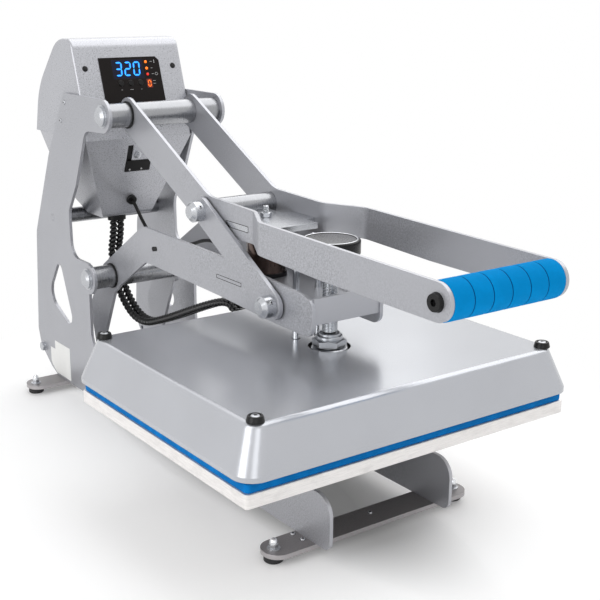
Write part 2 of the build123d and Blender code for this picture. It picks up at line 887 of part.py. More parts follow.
with BuildPart() as grip_tube:
    with Locations(facing(1, grip_pivot, -handle_inner_half)):
        rod(2 * handle_inner_half, grip_tube_radius)
    with Locations(facing(1, grip_pivot, grip_plug_length - handle_inner_half)):
        rod(
            2 * (handle_inner_half - grip_plug_length),
            grip_tube_radius - grip_tube_wall,
            Mode.SUBTRACT,
        )
    with Locations(facing(1, grip_pivot, -handle_inner_half)):
        rod(2 * handle_inner_half, grip_shank_radius, Mode.SUBTRACT)
save(grip_tube.part, "grip_tube")

with BuildPart() as foam_grip:
    with BuildSketch(facing(1, grip_pivot, -grip_foam_half)):
        Circle(grip_foam_radius)
    extrude(amount=2 * grip_foam_half)
    chamfer(foam_grip.edges().group_by(Axis.X)[0], 1.5)
    chamfer(foam_grip.edges().group_by(Axis.X)[-1], 1.5)
    for ring in (-2, -1, 0, 1, 2):
        with BuildSketch(
            facing(1, grip_pivot, ring * grip_groove_spacing - grip_groove_width / 2)
        ):
            Circle(grip_foam_radius + 1)
            Circle(grip_foam_radius - grip_groove_depth, mode=Mode.SUBTRACT)
        extrude(amount=grip_groove_width, mode=Mode.SUBTRACT)
    with BuildSketch(facing(1, grip_pivot, -grip_foam_half)):
        Circle(grip_tube_radius)
    extrude(amount=2 * grip_foam_half, mode=Mode.SUBTRACT)
save(foam_grip.part, "foam_grip")

with BuildPart() as grip_bolts:
    for side in (-1, 1):
        with BuildSketch(facing(side, grip_pivot, handle_outer_half)):
            Circle(grip_bolt_radius)
        extrude(amount=grip_bolt_height, taper=15)
        with BuildSketch(facing(side, grip_pivot, handle_outer_half + grip_bolt_height)):
            RegularPolygon(4.4, 6)
        extrude(amount=-3.5, mode=Mode.SUBTRACT)
        with Locations(facing(side, grip_pivot, handle_inner_half - grip_plug_length)):
            rod(grip_plug_length + arm_plate_thickness, grip_shank_radius)
save(grip_bolts.part, "grip_bolts")

# Toggle links between the handle and the lower arms
link_run = hypot(middle_pivot[0] - front_pivot[0], middle_pivot[1] - front_pivot[1])
link_angle = degrees(
    atan2(middle_pivot[1] - front_pivot[1], middle_pivot[0] - front_pivot[0])
)
link_middle = at(
    ((middle_pivot[0] + front_pivot[0]) / 2, (middle_pivot[1] + front_pivot[1]) / 2)
)
with BuildPart() as toggle_links:
    for x_low in (-link_outer, link_inner_half):
        with BuildSketch(Plane.YZ.offset(x_low)):
            with Locations(Location((*link_middle, 0), (0, 0, 1), link_angle)):
                SlotCenterToCenter(link_run, 2 * link_half_width)
            with Locations(at(front_pivot)):
                Circle(link_pin_radius + running_gap, mode=Mode.SUBTRACT)
            with Locations(at(middle_pivot)):
                Circle(link_pin_radius, mode=Mode.SUBTRACT)
        extrude(amount=link_thickness)
save(toggle_links.part, "toggle_links")

with BuildPart() as link_caps:
    for side in (-1, 1):
        with Locations(facing(side, middle_pivot, link_inner_half)):
            rod(link_thickness, link_pin_radius)
        with Locations(facing(side, middle_pivot, link_outer)):
            rod(collar_length, collar_radius)
        with BuildSketch(facing(side, middle_pivot, link_outer + collar_length)):
            Circle(link_cap_radius)
        extrude(amount=link_cap_height, taper=link_cap_taper)
save(link_caps.part, "link_caps")

# Control head: upper cover between the side plates
head_rows = [
    (688, 478, 5),
    (panel_bottom[0] + (head_top - panel_bottom[1]) * tan(lean), head_top, 20),
    (778, head_top, 60),
    (858, 512, 120),
]


def head_side(bottom):
    """Rows of the cover's side outline down to the given height."""
    return [(685, bottom, 0), *head_rows, (876, bottom, 0)]


panel_frame = Plane(
    origin=(0, *at(panel_bottom)), x_dir=(1, 0, 0), z_dir=(0, -cos(lean), sin(lean))
)
window_middle = ((window_left + window_right) / 2, (window_low + window_high) / 2)
window_size = (window_right - window_left, window_high - window_low)
button_spots = [
    (button_middle + step * button_spacing, button_row) for step in (-1, 0, 1)
]
with BuildPart() as head_cover:
    with BuildSketch(Plane.YZ.offset(-head_half)):
        with BuildLine():
            outline(head_side(head_bottom))
        make_face()
    extrude(amount=2 * head_half)
    side_edges = head_cover.edges().group_by(Axis.X)
    fillet(
        [
            edge
            for edge in [*side_edges[0], *side_edges[-1]]
            if (edge @ 0.5).Z > head_bottom + 1
        ],
        head_edge_radius,
    )
    with BuildSketch(Plane.YZ.offset(head_wall - head_half)):
        with BuildLine():
            outline(head_side(head_bottom - head_wall))
        make_face()
        offset(amount=-head_wall, mode=Mode.REPLACE)
    extrude(amount=2 * (head_half - head_wall), mode=Mode.SUBTRACT)
    with BuildSketch(panel_frame):
        with Locations(window_middle):
            Rectangle(*window_size)
        with Locations(*button_spots):
            Circle(button_radius + side_gap)
    extrude(amount=-3 * head_wall, mode=Mode.SUBTRACT)
save(head_cover.part, "head_cover")

# Lower housing: tapering tray hung under the cover
housing_side_rows = [(739, housing_bottom, 10), (797, housing_bottom, 8), (858, 346, 12)]
housing_front = 685.0
wall_lean = atan2(housing_side_rows[0][0] - housing_front, head_bottom - housing_bottom)
switch_gap = 0.2
switch_depth = 8.0
switch_stand = 0.8
notch_left = -18.5
notch_right = 27.0
notch_neck = -8.5
notch_low = 382.0
notch_step = 401.0
notch_high = 427.0


def housing_body(inset):
    """Solid body of the tray, drawn in by the wall and raised at its open top."""
    top = head_bottom + inset
    front_edge = housing_front - inset * tan(wall_lean)
    with BuildPart() as body:
        with BuildSketch(Plane.YZ.offset(-head_half)):
            with BuildLine():
                outline([(front_edge, top, 0), *housing_side_rows, (858, top, 0)])
            make_face()
            if inset:
                offset(amount=-inset, mode=Mode.REPLACE)
        extrude(amount=2 * head_half)
        with BuildSketch(Plane(origin=(0, *at((660, 0))), x_dir=(1, 0, 0), z_dir=(0, -1, 0))):
            with BuildLine():
                Polyline(
                    (-head_half, top),
                    (-housing_bottom_half, housing_bottom),
                    (housing_bottom_half, housing_bottom),
                    (head_half, top),
                    close=True,
                )
            make_face()
            if inset:
                offset(amount=-inset, kind=Kind.INTERSECTION, mode=Mode.REPLACE)
        extrude(amount=-400, mode=Mode.INTERSECT)
    return body.part


with BuildPart() as lower_housing:
    add(housing_body(0))
    add(housing_body(head_wall), mode=Mode.SUBTRACT)
    with BuildSketch(Plane(origin=(0, *at((675, 0))), x_dir=(1, 0, 0), z_dir=(0, -1, 0))):
        with BuildLine():
            Polyline(
                (notch_left, notch_low),
                (notch_right, notch_low),
                (notch_right, notch_step),
                (notch_neck, notch_step),
                (notch_neck, notch_high),
                (notch_left, notch_high),
                close=True,
            )
        make_face()
    extrude(amount=-45, mode=Mode.SUBTRACT)
    with BuildSketch(Plane(origin=(0, *at((870, 0))), x_dir=(1, 0, 0), z_dir=(0, -1, 0))):
        with Locations((0, inlet_height)):
            Rectangle(27, 20)
        with Locations((0, rocker_height)):
            Rectangle(19, 13)
    extrude(amount=25, mode=Mode.SUBTRACT)
save(lower_housing.part, "lower_housing")

def wall_point(height, depth):
    """Model Y and Z of a point behind the tray's front wall."""
    return at((housing_front + (head_bottom - height) * tan(wall_lean) + depth / cos(wall_lean), height))


with BuildPart() as limit_switch:
    with BuildSketch(Plane.YZ.offset(notch_left - 5)):
        with BuildLine():
            Polyline(
                wall_point(notch_high + 4, head_wall + switch_gap),
                wall_point(notch_low - 4, head_wall + switch_gap),
                wall_point(notch_low - 4, head_wall + switch_depth),
                wall_point(notch_high + 4, head_wall + switch_depth),
                close=True,
            )
        make_face()
    extrude(amount=notch_right - notch_left + 10)
    with BuildSketch(Plane.YZ.offset(notch_left + side_gap)):
        with BuildLine():
            Polyline(
                wall_point(notch_step - side_gap, -switch_stand),
                wall_point(notch_low + side_gap, -switch_stand),
                wall_point(notch_low + side_gap, head_wall + 2 * switch_gap),
                wall_point(notch_step - side_gap, head_wall + 2 * switch_gap),
                close=True,
            )
        make_face()
    extrude(amount=notch_right - notch_left - 2 * side_gap)
save(limit_switch.part, "limit_switch")

# Control panel on the sloping front of the cover
overlay_height = overlay_high - overlay_low
with BuildPart() as control_panel:
    with BuildSketch(panel_frame):
        with BuildLine():
            Polyline(
                (-overlay_half_width, overlay_low),
                (overlay_half_width, overlay_low),
                (overlay_half_width, overlay_high - overlay_corner),
                (overlay_half_width - overlay_corner, overlay_high),
                (-overlay_half_width, overlay_high),
                close=True,
            )
        make_face()
        with Locations(window_middle):
            Rectangle(*window_size, mode=Mode.SUBTRACT)
        with Locations(*button_spots):
            Circle(button_radius + side_gap, mode=Mode.SUBTRACT)
        with Locations(*[(lamp_x, row) for row in lamp_rows]):
            Circle(lamp_radius, mode=Mode.SUBTRACT)
    extrude(amount=overlay_thickness)
save(control_panel.part, "control_panel")

with BuildPart() as display_window:
    with BuildSketch(panel_frame):
        with Locations(window_middle):
            Rectangle(*window_size)
    extrude(amount=overlay_thickness)
save(display_window.part, "display_window")

with BuildPart() as status_lamps:
    with BuildSketch(panel_frame):
        with Locations(*[(lamp_x, row) for row in lamp_rows]):
            Circle(lamp_radius)
    extrude(amount=overlay_thickness + 0.5)
save(status_lamps.part, "status_lamps")


def button(spot):
    """One push button standing out of the control panel."""
    with BuildPart() as push:
        with BuildSketch(panel_frame.offset(-head_wall - button_depth)):
            with Locations(spot):
                Circle(button_radius)
        extrude(amount=head_wall + button_depth + overlay_thickness + button_stand)
        chamfer(push.edges().filter_by(GeomType.CIRCLE).sort_by(Axis.Z)[-1], 0.6)
    return push.part


save(button(button_spots[0]), "button_left")
save(button(button_spots[1]), "button_middle")
save(button(button_spots[2]), "button_right")

with BuildPart() as circuit_board:
    with BuildSketch(panel_frame.offset(-head_wall - board_depth)):
        with Locations((0, (overlay_low + overlay_high) / 2)):
            Rectangle(2 * overlay_half_width, overlay_height)
    extrude(amount=1.6)
    with BuildSketch(panel_frame.offset(-head_wall - board_depth)):
        with Locations((0, (overlay_low + overlay_high) / 2)):
            with GridLocations(2 * overlay_half_width - 12, overlay_height - 12, 2, 2):
                Circle(3)
    extrude(amount=board_depth)
save(circuit_board.part, "circuit_board")

with BuildPart() as power_supply:
    with BuildSketch(Plane.XY.offset(housing_bottom + head_wall)):
        with Locations((0, at((769, 0))[0])):
            Rectangle(60, 38)
    extrude(amount=48)
save(power_supply.part, "power_supply")

# Rear wall: one moulding with the appliance inlet below and the rocker switch above
rear_wall = platen_front + 858
inlet_flange = 2.0
module_middle = (inlet_height + rocker_height) / 2


def rear_plane(stand, height):
    """Plane on the rear wall, looking back, at the given stand-off and height."""
    return Plane(origin=(0, rear_wall + stand, height), x_dir=(-1, 0, 0), z_dir=(0, 1, 0))


with BuildPart() as power_inlet:
    with BuildSketch(rear_plane(0, module_middle)):
        RectangleRounded(36, 62, 3)
    extrude(amount=inlet_flange)
    with BuildSketch(rear_plane(0, inlet_height)):
        Rectangle(27, 20)
        with Locations((0, rocker_height - inlet_height)):
            Rectangle(19, 13)
    extrude(amount=-20)
    with BuildSketch(rear_plane(inlet_flange, inlet_height)):
        RectangleRounded(23, 15.5, 3)
        with Locations((0, rocker_height - inlet_height)):
            Rectangle(15.6, 10.0)
    extrude(amount=-17, mode=Mode.SUBTRACT)
    with BuildSketch(rear_plane(-15, inlet_height)):
        with Locations((-7, -2), (0, 2), (7, -2)):
            Rectangle(2, 4)
    extrude(amount=14)
save(power_inlet.part, "power_inlet")

rocker_pivot_depth = 3.0
rocker_half = 3.5
with BuildPart() as power_rocker:
    with BuildSketch(Plane.YZ.offset(-7.4)):
        with BuildLine():
            Polyline(
                (rear_wall + 1.4, rocker_height + rocker_half),
                (rear_wall + 3.0, rocker_height - rocker_half),
                (rear_wall - rocker_pivot_depth, rocker_height - 2.4),
                (rear_wall - rocker_pivot_depth, rocker_height + 2.4),
                close=True,
            )
        make_face()
    extrude(amount=14.8)
    with BuildSketch(Plane.YZ.offset(-7.8)):
        with Locations((rear_wall - rocker_pivot_depth, rocker_height)):
            Circle(1.2)
    extrude(amount=15.6)
save(power_rocker.part, "power_rocker")

# Cord glands of the housing
heater_gland = (762.0, housing_bottom)
heater_gland_x = -8.0
gland_drop = 10.0
magnet_gland = (726.9, 333.0)
magnet_gland_stand = 5.0
magnet_gland_plane = Plane(
    origin=(2, *at(magnet_gland)), x_dir=(1, 0, 0), z_dir=(0, -cos(wall_lean), -sin(wall_lean))
)
with BuildPart() as housing_glands:
    with BuildSketch(Plane.XY.offset(housing_bottom)):
        with Locations((heater_gland_x, at(heater_gland)[0])):
            SlotOverall(gland_width, gland_height)
    extrude(amount=-gland_drop)
    with BuildSketch(magnet_gland_plane.offset(-6)):
        Circle(8)
    extrude(amount=magnet_gland_stand + 6)
    add(housing_body(0), mode=Mode.SUBTRACT)
save(housing_glands.part, "housing_glands")


def bend_radii(points):
    """Bend radius at each inner point: most of what the shorter run allows."""
    radii = []
    for before, here, after in zip(points, points[1:], points[2:]):
        first = Vector(*here) - Vector(*before)
        second = Vector(*after) - Vector(*here)
        turn = radians(first.get_angle(second))
        radii.append(0.45 * min(first.length, second.length) / tan(turn / 2))
    return radii


def cord(points, radius, name):
    """Round cord through the given points, ends square to its first and last run."""
    radii = bend_radii(points)
    print(name, "radii", [round(value, 1) for value in radii])
    with BuildPart() as tube:
        with BuildLine() as path:
            FilletPolyline(points, radius=radii)
        with BuildSketch(Plane(origin=path.line @ 0, z_dir=path.line % 0)):
            Circle(radius)
        sweep()
    print(name, "length", round(sum(edge.length for edge in path.edges()), 1))
    return tube.part


lead_rows = [
    (heater_gland_x, 762, housing_bottom - gland_drop),
    (heater_gland_x, 762, 273),
    (heater_gland_x, 777, 233),
    (-6, 761, 172),
    (0, 700, 124),
    (8, 615, 154),
    (15, 520, 196),
    (lead_entry_x - 1, 452, 221),
    (lead_entry_x, 432, lead_entry),
    (lead_entry_x, platen_depth + cover_overhang_end + 10, lead_entry),
]
for number, side in ((1, -1), (2, 1)):
    lead_points = [
        (x + side * lead_offset, platen_front + back, height) for x, back, height in lead_rows
    ]
    save(cord(lead_points, lead_radius, f"heater_lead_{number}"), f"heater_lead_{number}")

magnet_cable_rows = [
    (2, 722.3, 331.1),
    (2, 716.8, 328.8),
    (2, 684, 297),
    (-4, 640, 280),
    (0, 590, 279),
    (2, 540, 290),
    (-3, 472, 314),
    (0, 412, magnet_cable_entry),
    (0, magnet_y + magnet_radius + 5, magnet_cable_entry),
]
magnet_cable_points = [(x, platen_front + back, height) for x, back, height in magnet_cable_rows]
save(cord(magnet_cable_points, magnet_cable_radius, "magnet_cable"), "magnet_cable")

# Return springs under the platen, hooked on the anchor rod and the tail rod
hook_radius = small_rod_radius + spring_wire_radius
spring_start = anchor_rod[0] + 18
spring_end = tail_pivot[0] - 18
with BuildPart() as return_springs:
    for side in (-1, 1):
        with Locations(
            Plane(origin=(side * spring_side, *at((spring_start, anchor_rod[1]))), z_dir=(0, 1, 0))
        ):
            rod(spring_end - spring_start, spring_radius)
        with Locations(
            Plane(
                origin=(side * spring_side, *at((anchor_rod[0] + hook_radius, anchor_rod[1]))),
                z_dir=(0, 1, 0),
            )
        ):
            rod(tail_pivot[0] - anchor_rod[0] - 2 * hook_radius, spring_wire_radius)
        for spot in (anchor_rod, tail_pivot):
            with Locations(facing(1, spot, side * spring_side)):
                Torus(hook_radius, spring_wire_radius)
save(return_springs.part, "return_springs")
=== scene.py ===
"""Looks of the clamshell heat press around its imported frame. Lengths are metres on the frame's axes."""
import math

import bmesh
import bpy
from mathutils import Euler, Matrix, Vector


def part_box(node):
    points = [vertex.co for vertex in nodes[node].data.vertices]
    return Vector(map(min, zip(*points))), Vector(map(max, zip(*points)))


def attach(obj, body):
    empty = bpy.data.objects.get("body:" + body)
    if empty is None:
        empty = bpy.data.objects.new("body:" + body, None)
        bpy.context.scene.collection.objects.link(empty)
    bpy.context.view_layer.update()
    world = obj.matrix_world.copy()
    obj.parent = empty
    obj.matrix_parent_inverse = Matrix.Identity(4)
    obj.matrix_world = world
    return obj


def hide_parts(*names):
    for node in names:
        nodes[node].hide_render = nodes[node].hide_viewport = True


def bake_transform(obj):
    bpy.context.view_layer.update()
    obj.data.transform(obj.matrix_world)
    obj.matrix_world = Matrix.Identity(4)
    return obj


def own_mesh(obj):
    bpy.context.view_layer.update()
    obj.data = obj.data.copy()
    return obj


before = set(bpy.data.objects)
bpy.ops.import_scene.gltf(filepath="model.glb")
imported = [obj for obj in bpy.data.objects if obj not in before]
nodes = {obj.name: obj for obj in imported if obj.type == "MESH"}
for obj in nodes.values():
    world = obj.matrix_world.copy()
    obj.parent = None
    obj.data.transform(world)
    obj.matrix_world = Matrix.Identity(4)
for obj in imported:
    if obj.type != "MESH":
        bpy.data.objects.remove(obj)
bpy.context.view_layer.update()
scene = bpy.context.scene

platen_back = 385.6  # from the lower platen's front edge back to the origin


def mm(x, y, z):
    """A point given in millimetres."""
    return Vector((x, y, z)) / 1000


def at(x, back, height):
    """A point in millimetres, measured back from the lower platen's front edge."""
    return (x, back - platen_back, height)


# Camera at the photograph's place
camera_place = mm(-841.5, -1292.2, 673.8)
camera_tilt, camera_heading, camera_roll = math.radians(74.235), math.radians(-36.09), math.radians(0.361)

camera = bpy.data.objects.new("camera", bpy.data.cameras.new("camera"))
camera.data.sensor_width = 36
camera.data.lens = 66.73
camera.data.clip_end = 50
turn = Euler((camera_tilt, 0, camera_heading)).to_matrix() @ Matrix.Rotation(camera_roll, 3, "Z")
camera.matrix_world = Matrix.Translation(camera_place) @ turn.to_4x4()
scene.collection.objects.link(camera)
scene.camera = camera

# Cords: two heater leads in spiral wrap, and the magnet's cable
lead_radius, lead_groove, lead_pitch = 0.00625, 0.0021, 0.0082
lead_side = 6.5  # from the middle of the pair to each lead
cable_radius = 0.0028
curve_steps = 110


def line_through(points):
    """The points of a smooth curve that a route in millimetres guides."""
    data = bpy.data.curves.new("route", "CURVE")
    data.dimensions = "3D"
    data.resolution_u = curve_steps
    spline = data.splines.new("NURBS")
    spline.points.add(len(points) - 1)
    for point, place in zip(spline.points, points):
        point.co = (*mm(*at(*place)), 1.0)
    spline.order_u = 3
    spline.use_endpoint_u = True
    carrier = bpy.data.objects.new("route", data)
    scene.collection.objects.link(carrier)
    bpy.context.view_layer.update()
    read = bpy.data.meshes.new_from_object(carrier)
    found = [v.co.copy() for v in read.vertices]
    bpy.data.objects.remove(carrier)
    bpy.data.curves.remove(data)
    bpy.data.meshes.remove(read)
    return found


def tube(path, sides, radius_at):
    """A mesh tube along points in metres, closed at its ends; radius_at(distance, angle) is in metres."""
    body = bmesh.new()
    side = None
    rings, gone = [], 0.0
    for index, point in enumerate(path):
        before, after = path[max(index - 1, 0)], path[min(index + 1, len(path) - 1)]
        ahead = (after - before).normalized()
        if side is None:
            side = ahead.orthogonal().normalized()
        side = (side - ahead * side.dot(ahead)).normalized()
        across = ahead.cross(side)
        if index:
            gone += (point - path[index - 1]).length
        ring = []
        for k in range(sides):
            angle = 2 * math.pi * k / sides
            reach = radius_at(gone, angle)
            place = point + side * (reach * math.cos(angle)) + across * (reach * math.sin(angle))
            ring.append(body.verts.new(place))
        rings.append(ring)
    for first, second in zip(rings, rings[1:]):
        for k in range(sides):
            j = (k + 1) % sides
            body.faces.new((first[k], first[j], second[j], second[k]))
    body.faces.new(list(reversed(rings[0])))
    body.faces.new(rings[-1])
    return body


def wrapped(distance, angle):
    """Surface of a spiral wrap: one rounded rib a turn."""
    turns = distance / lead_pitch - angle / (2 * math.pi)
    return lead_radius - lead_groove * (0.5 + 0.5 * math.cos(2 * math.pi * turns)) ** 2


lead_route = [
    (-8, 762, 294), (-8, 762, 273), (-8, 777, 233), (-6, 761, 172), (0, 700, 124),
    (8, 615, 154), (15, 520, 196), (21, 452, 221), (22, 432, 207), (22, 418, 207),
]
cable_route = [
    (2, 722.3, 331.1), (2, 716.8, 328.8), (2, 684, 297), (-4, 640, 280), (0, 590, 279),
    (2, 540, 290), (-3, 472, 314), (0, 412, 306), (0, 360, 306),
]
cords = []
for number, shift in ((1, -lead_side), (2, lead_side)):
    path = line_through([(x + shift, back, height) for x, back, height in lead_route])
    cords.append((f"heater_lead_{number}", path, tube(path, 18, wrapped), 2 * lead_radius, "lead_sleeve"))
path = line_through(cable_route)
shape = tube(path, 14, lambda distance, angle: cable_radius)
cords.append(("magnet_cable", path, shape, 2 * cable_radius, "cable_skin"))


# Materials

def rgb(red, green, blue):
    """A screen colour, 0 to 255, as the shader wants it."""
    shares = [value / 255 for value in (red, green, blue)]
    return (*[((c + 0.055) / 1.055) ** 2.4 if c > 10 / 255 else c / 12.92 for c in shares], 1.0)


class Look:
    """One material and its node tree."""

    def __init__(self, name, colour, metallic=0.0, roughness=0.5, **values):
        self.mat = bpy.data.materials.new(name)
        self.mat.use_nodes = True
        self.tree = self.mat.node_tree
        self.shader = self.tree.nodes["Principled BSDF"]
        self.shader.inputs["Base Color"].default_value = colour
        self.shader.inputs["Metallic"].default_value = metallic
        self.shader.inputs["Roughness"].default_value = roughness
        for key, value in values.items():
            self.shader.inputs[key.replace("_", " ")].default_value = value
        self.normal = None

    def node(self, kind, **settings):
        """A node of a kind; a setting is one of its own or one of its inputs."""
        made = self.tree.nodes.new(kind)
        for key, value in settings.items():
            if hasattr(made, key):
                setattr(made, key, value)
            else:
                made.inputs[key.replace("_", " ")].default_value = value
        return made

    def link(self, out, into):
        self.tree.links.new(out, into)

    def place(self, stretch=(1, 1, 1)):
        """Object coordinates, stretched."""
        where = self.node("ShaderNodeTexCoord").outputs["Object"]
        if stretch == (1, 1, 1):
            return where
        scale = self.node("ShaderNodeMapping")
        scale.inputs["Scale"].default_value = stretch
        self.link(where, scale.inputs["Vector"])
        return scale.outputs["Vector"]

    def noise(self, scale, detail=2.0, stretch=(1, 1, 1), rough=0.55):
        """Noise from 0 to 1, finer with a larger scale."""
        made = self.node("ShaderNodeTexNoise", Scale=scale, Detail=detail, Roughness=rough)
        self.link(self.place(stretch), made.inputs["Vector"])
        return made.outputs["Fac"]

    def spread(self, value, low, high, start=0.35, end=0.65):
        """The value, with start to end spread over low to high."""
        made = self.node("ShaderNodeMapRange")
        for key, number in zip(("From Min", "From Max", "To Min", "To Max"), (start, end, low, high)):
            made.inputs[key].default_value = number
        self.link(value, made.inputs["Value"])
        return made.outputs["Result"]

    def mixed(self, factor, first, second):
        """The first colour where the factor is 0, and the second where it is 1."""
        made = self.node("ShaderNodeMix", data_type="RGBA", blend_type="MIX")
        self.link(factor, made.inputs["Factor"])
        for name, value in (("A_Color", first), ("B_Color", second)):
            socket = next(s for s in made.inputs if s.identifier == name)
            if isinstance(value, tuple):
                socket.default_value = value
            else:
                self.link(value, socket)
        return next(s for s in made.outputs if s.identifier == "Result_Color")

    def paint(self, out):
        self.link(out, self.shader.inputs["Base Color"])

    def rough(self, out):
        self.link(out, self.shader.inputs["Roughness"])

    def bump(self, height, distance):
        """Adds relief to what is there."""
        made = self.node("ShaderNodeBump", Strength=1.0, Distance=distance)
        self.link(height, made.inputs["Height"])
        if self.normal is not None:
            self.link(self.normal, made.inputs["Normal"])
        self.normal = made.outputs["Normal"]
        self.link(self.normal, self.shader.inputs["Normal"])

    def soften(self, radius):
        """Catches light along the edges as a small round would."""
        made = self.node("ShaderNodeBevel", samples=6)
        made.inputs["Radius"].default_value = radius
        self.normal = made.outputs["Normal"]
        self.link(self.normal, self.shader.inputs["Normal"])

    def edges(self, axis):
        """1 on faces turned away from the axis, such as the cut edges of a plate that is square to it."""
        normal = self.node("ShaderNodeTexCoord").outputs["Normal"]
        parts = self.node("ShaderNodeSeparateXYZ")
        self.link(normal, parts.inputs[0])
        size = self.node("ShaderNodeMath", operation="ABSOLUTE")
        self.link(parts.outputs[axis], size.inputs[0])
        return self.spread(size.outputs[0], 1.0, 0.0, 0.45, 0.55)


def shaded(colour, share):
    """The colour made darker, or lighter with a share over 1."""
    return tuple(c * share for c in colour[:3]) + (1.0,)


def metallic_paint(name, colour, metallic, roughness, grain, depth,
                   flat=None, edge=1.14, bevel=0.0008, sparkle=0.3, **values):
    """Silver powder coat: fine flakes, a faint cloud, a pebbled skin and, on plates, cut edges made lighter
    as a painted highlight.
    """
    look = Look(name, colour, metallic, roughness, **values)
    look.soften(bevel)
    flake = look.noise(grain, 3.0, rough=0.7)
    cloud = look.noise(9.0, 2.0)
    shine = look.spread(flake, 0.0, 1.0, 0.3, 0.7)
    base = look.mixed(shine, shaded(colour, 1 - sparkle), shaded(colour, 1 + sparkle))
    base = look.mixed(look.spread(cloud, 0.0, 1.0), base, shaded(colour, 1.04))
    # On plates, faces edge-on to the axis are lightened: a painted highlight on the cut edges
    if flat is not None:
        base = look.mixed(look.edges(flat), base, shaded(colour, edge))
    look.paint(base)
    look.rough(look.spread(flake, roughness - sparkle / 5, roughness + sparkle / 4, 0.3, 0.7))
    look.bump(flake, depth)
    return look.mat


def turned_metal(name, colour, roughness, stretch, depth=0.00001, **values):
    """Bright metal with the fine lines of its machining along one direction."""
    look = Look(name, colour, 1.0, roughness, **values)
    look.soften(0.0005)
    lines = look.noise(700.0, 3.0, stretch)
    cloud = look.noise(24.0, 2.0)
    look.paint(look.mixed(look.spread(cloud, 0.0, 1.0), shaded(colour, 0.95), shaded(colour, 1.04)))
    look.rough(look.spread(lines, roughness - 0.05, roughness + 0.07))
    look.bump(lines, depth)
    return look.mat


def moulded(name, colour, roughness, grain=1500.0, depth=0.00006, lift=1.6, **values):
    """Plastic or rubber with a fine grain and faint dust."""
    look = Look(name, colour, 0.0, roughness, **values)
    look.soften(0.0004)
    skin = look.noise(grain, 2.0)
    dust = look.noise(60.0, 4.0)
    look.paint(look.mixed(look.spread(dust, 0.0, 1.0, 0.45, 0.75), colour, shaded(colour, lift)))
    look.rough(look.spread(skin, roughness - 0.06, roughness + 0.06))
    look.bump(skin, depth)
    return look.mat


def brushed(name, colour):
    """Raw aluminium plate: long brush lines, scattered marks and a dull haze."""
    look = Look(name, colour, 0.6, 0.38)
    look.soften(0.0004)
    lines = look.noise(260.0, 4.0, (0.15, 0.15, 6), 0.7)
    marks = look.noise(38.0, 5.0, (1, 1, 2), 0.7)
    base = look.mixed(look.spread(lines, 0.0, 1.0, 0.3, 0.7), shaded(colour, 0.84), shaded(colour, 1.12))
    look.paint(look.mixed(look.spread(marks, 0.0, 0.5, 0.5, 0.75), base, shaded(colour, 0.72)))
    look.rough(look.spread(marks, 0.3, 0.5))
    look.bump(lines, 0.00004)
    return look.mat


def plated(name, colour):
    """Dark copper-coloured plating with a faint cloud."""
    look = Look(name, colour, 0.8, 0.16, Coat_Weight=0.5)
    look.soften(0.0004)
    cloud = look.noise(60.0, 3.0)
    lines = look.noise(500.0, 2.0, (1, 1, 12))
    look.paint(look.mixed(look.spread(cloud, 0.0, 1.0), shaded(colour, 0.75), shaded(colour, 1.3)))
    look.rough(look.spread(lines, 0.12, 0.26))
    look.bump(lines, 0.00001)
    return look.mat


def glow(name, colour, strength, base):
    """Lit plastic or a lit digit."""
    look = Look(name, base, 0.0, 0.3)
    look.shader.inputs["Emission Color"].default_value = colour
    look.shader.inputs["Emission Strength"].default_value = strength
    grain = look.noise(400.0, 2.0)
    look.rough(look.spread(grain, 0.22, 0.4))
    return look.mat


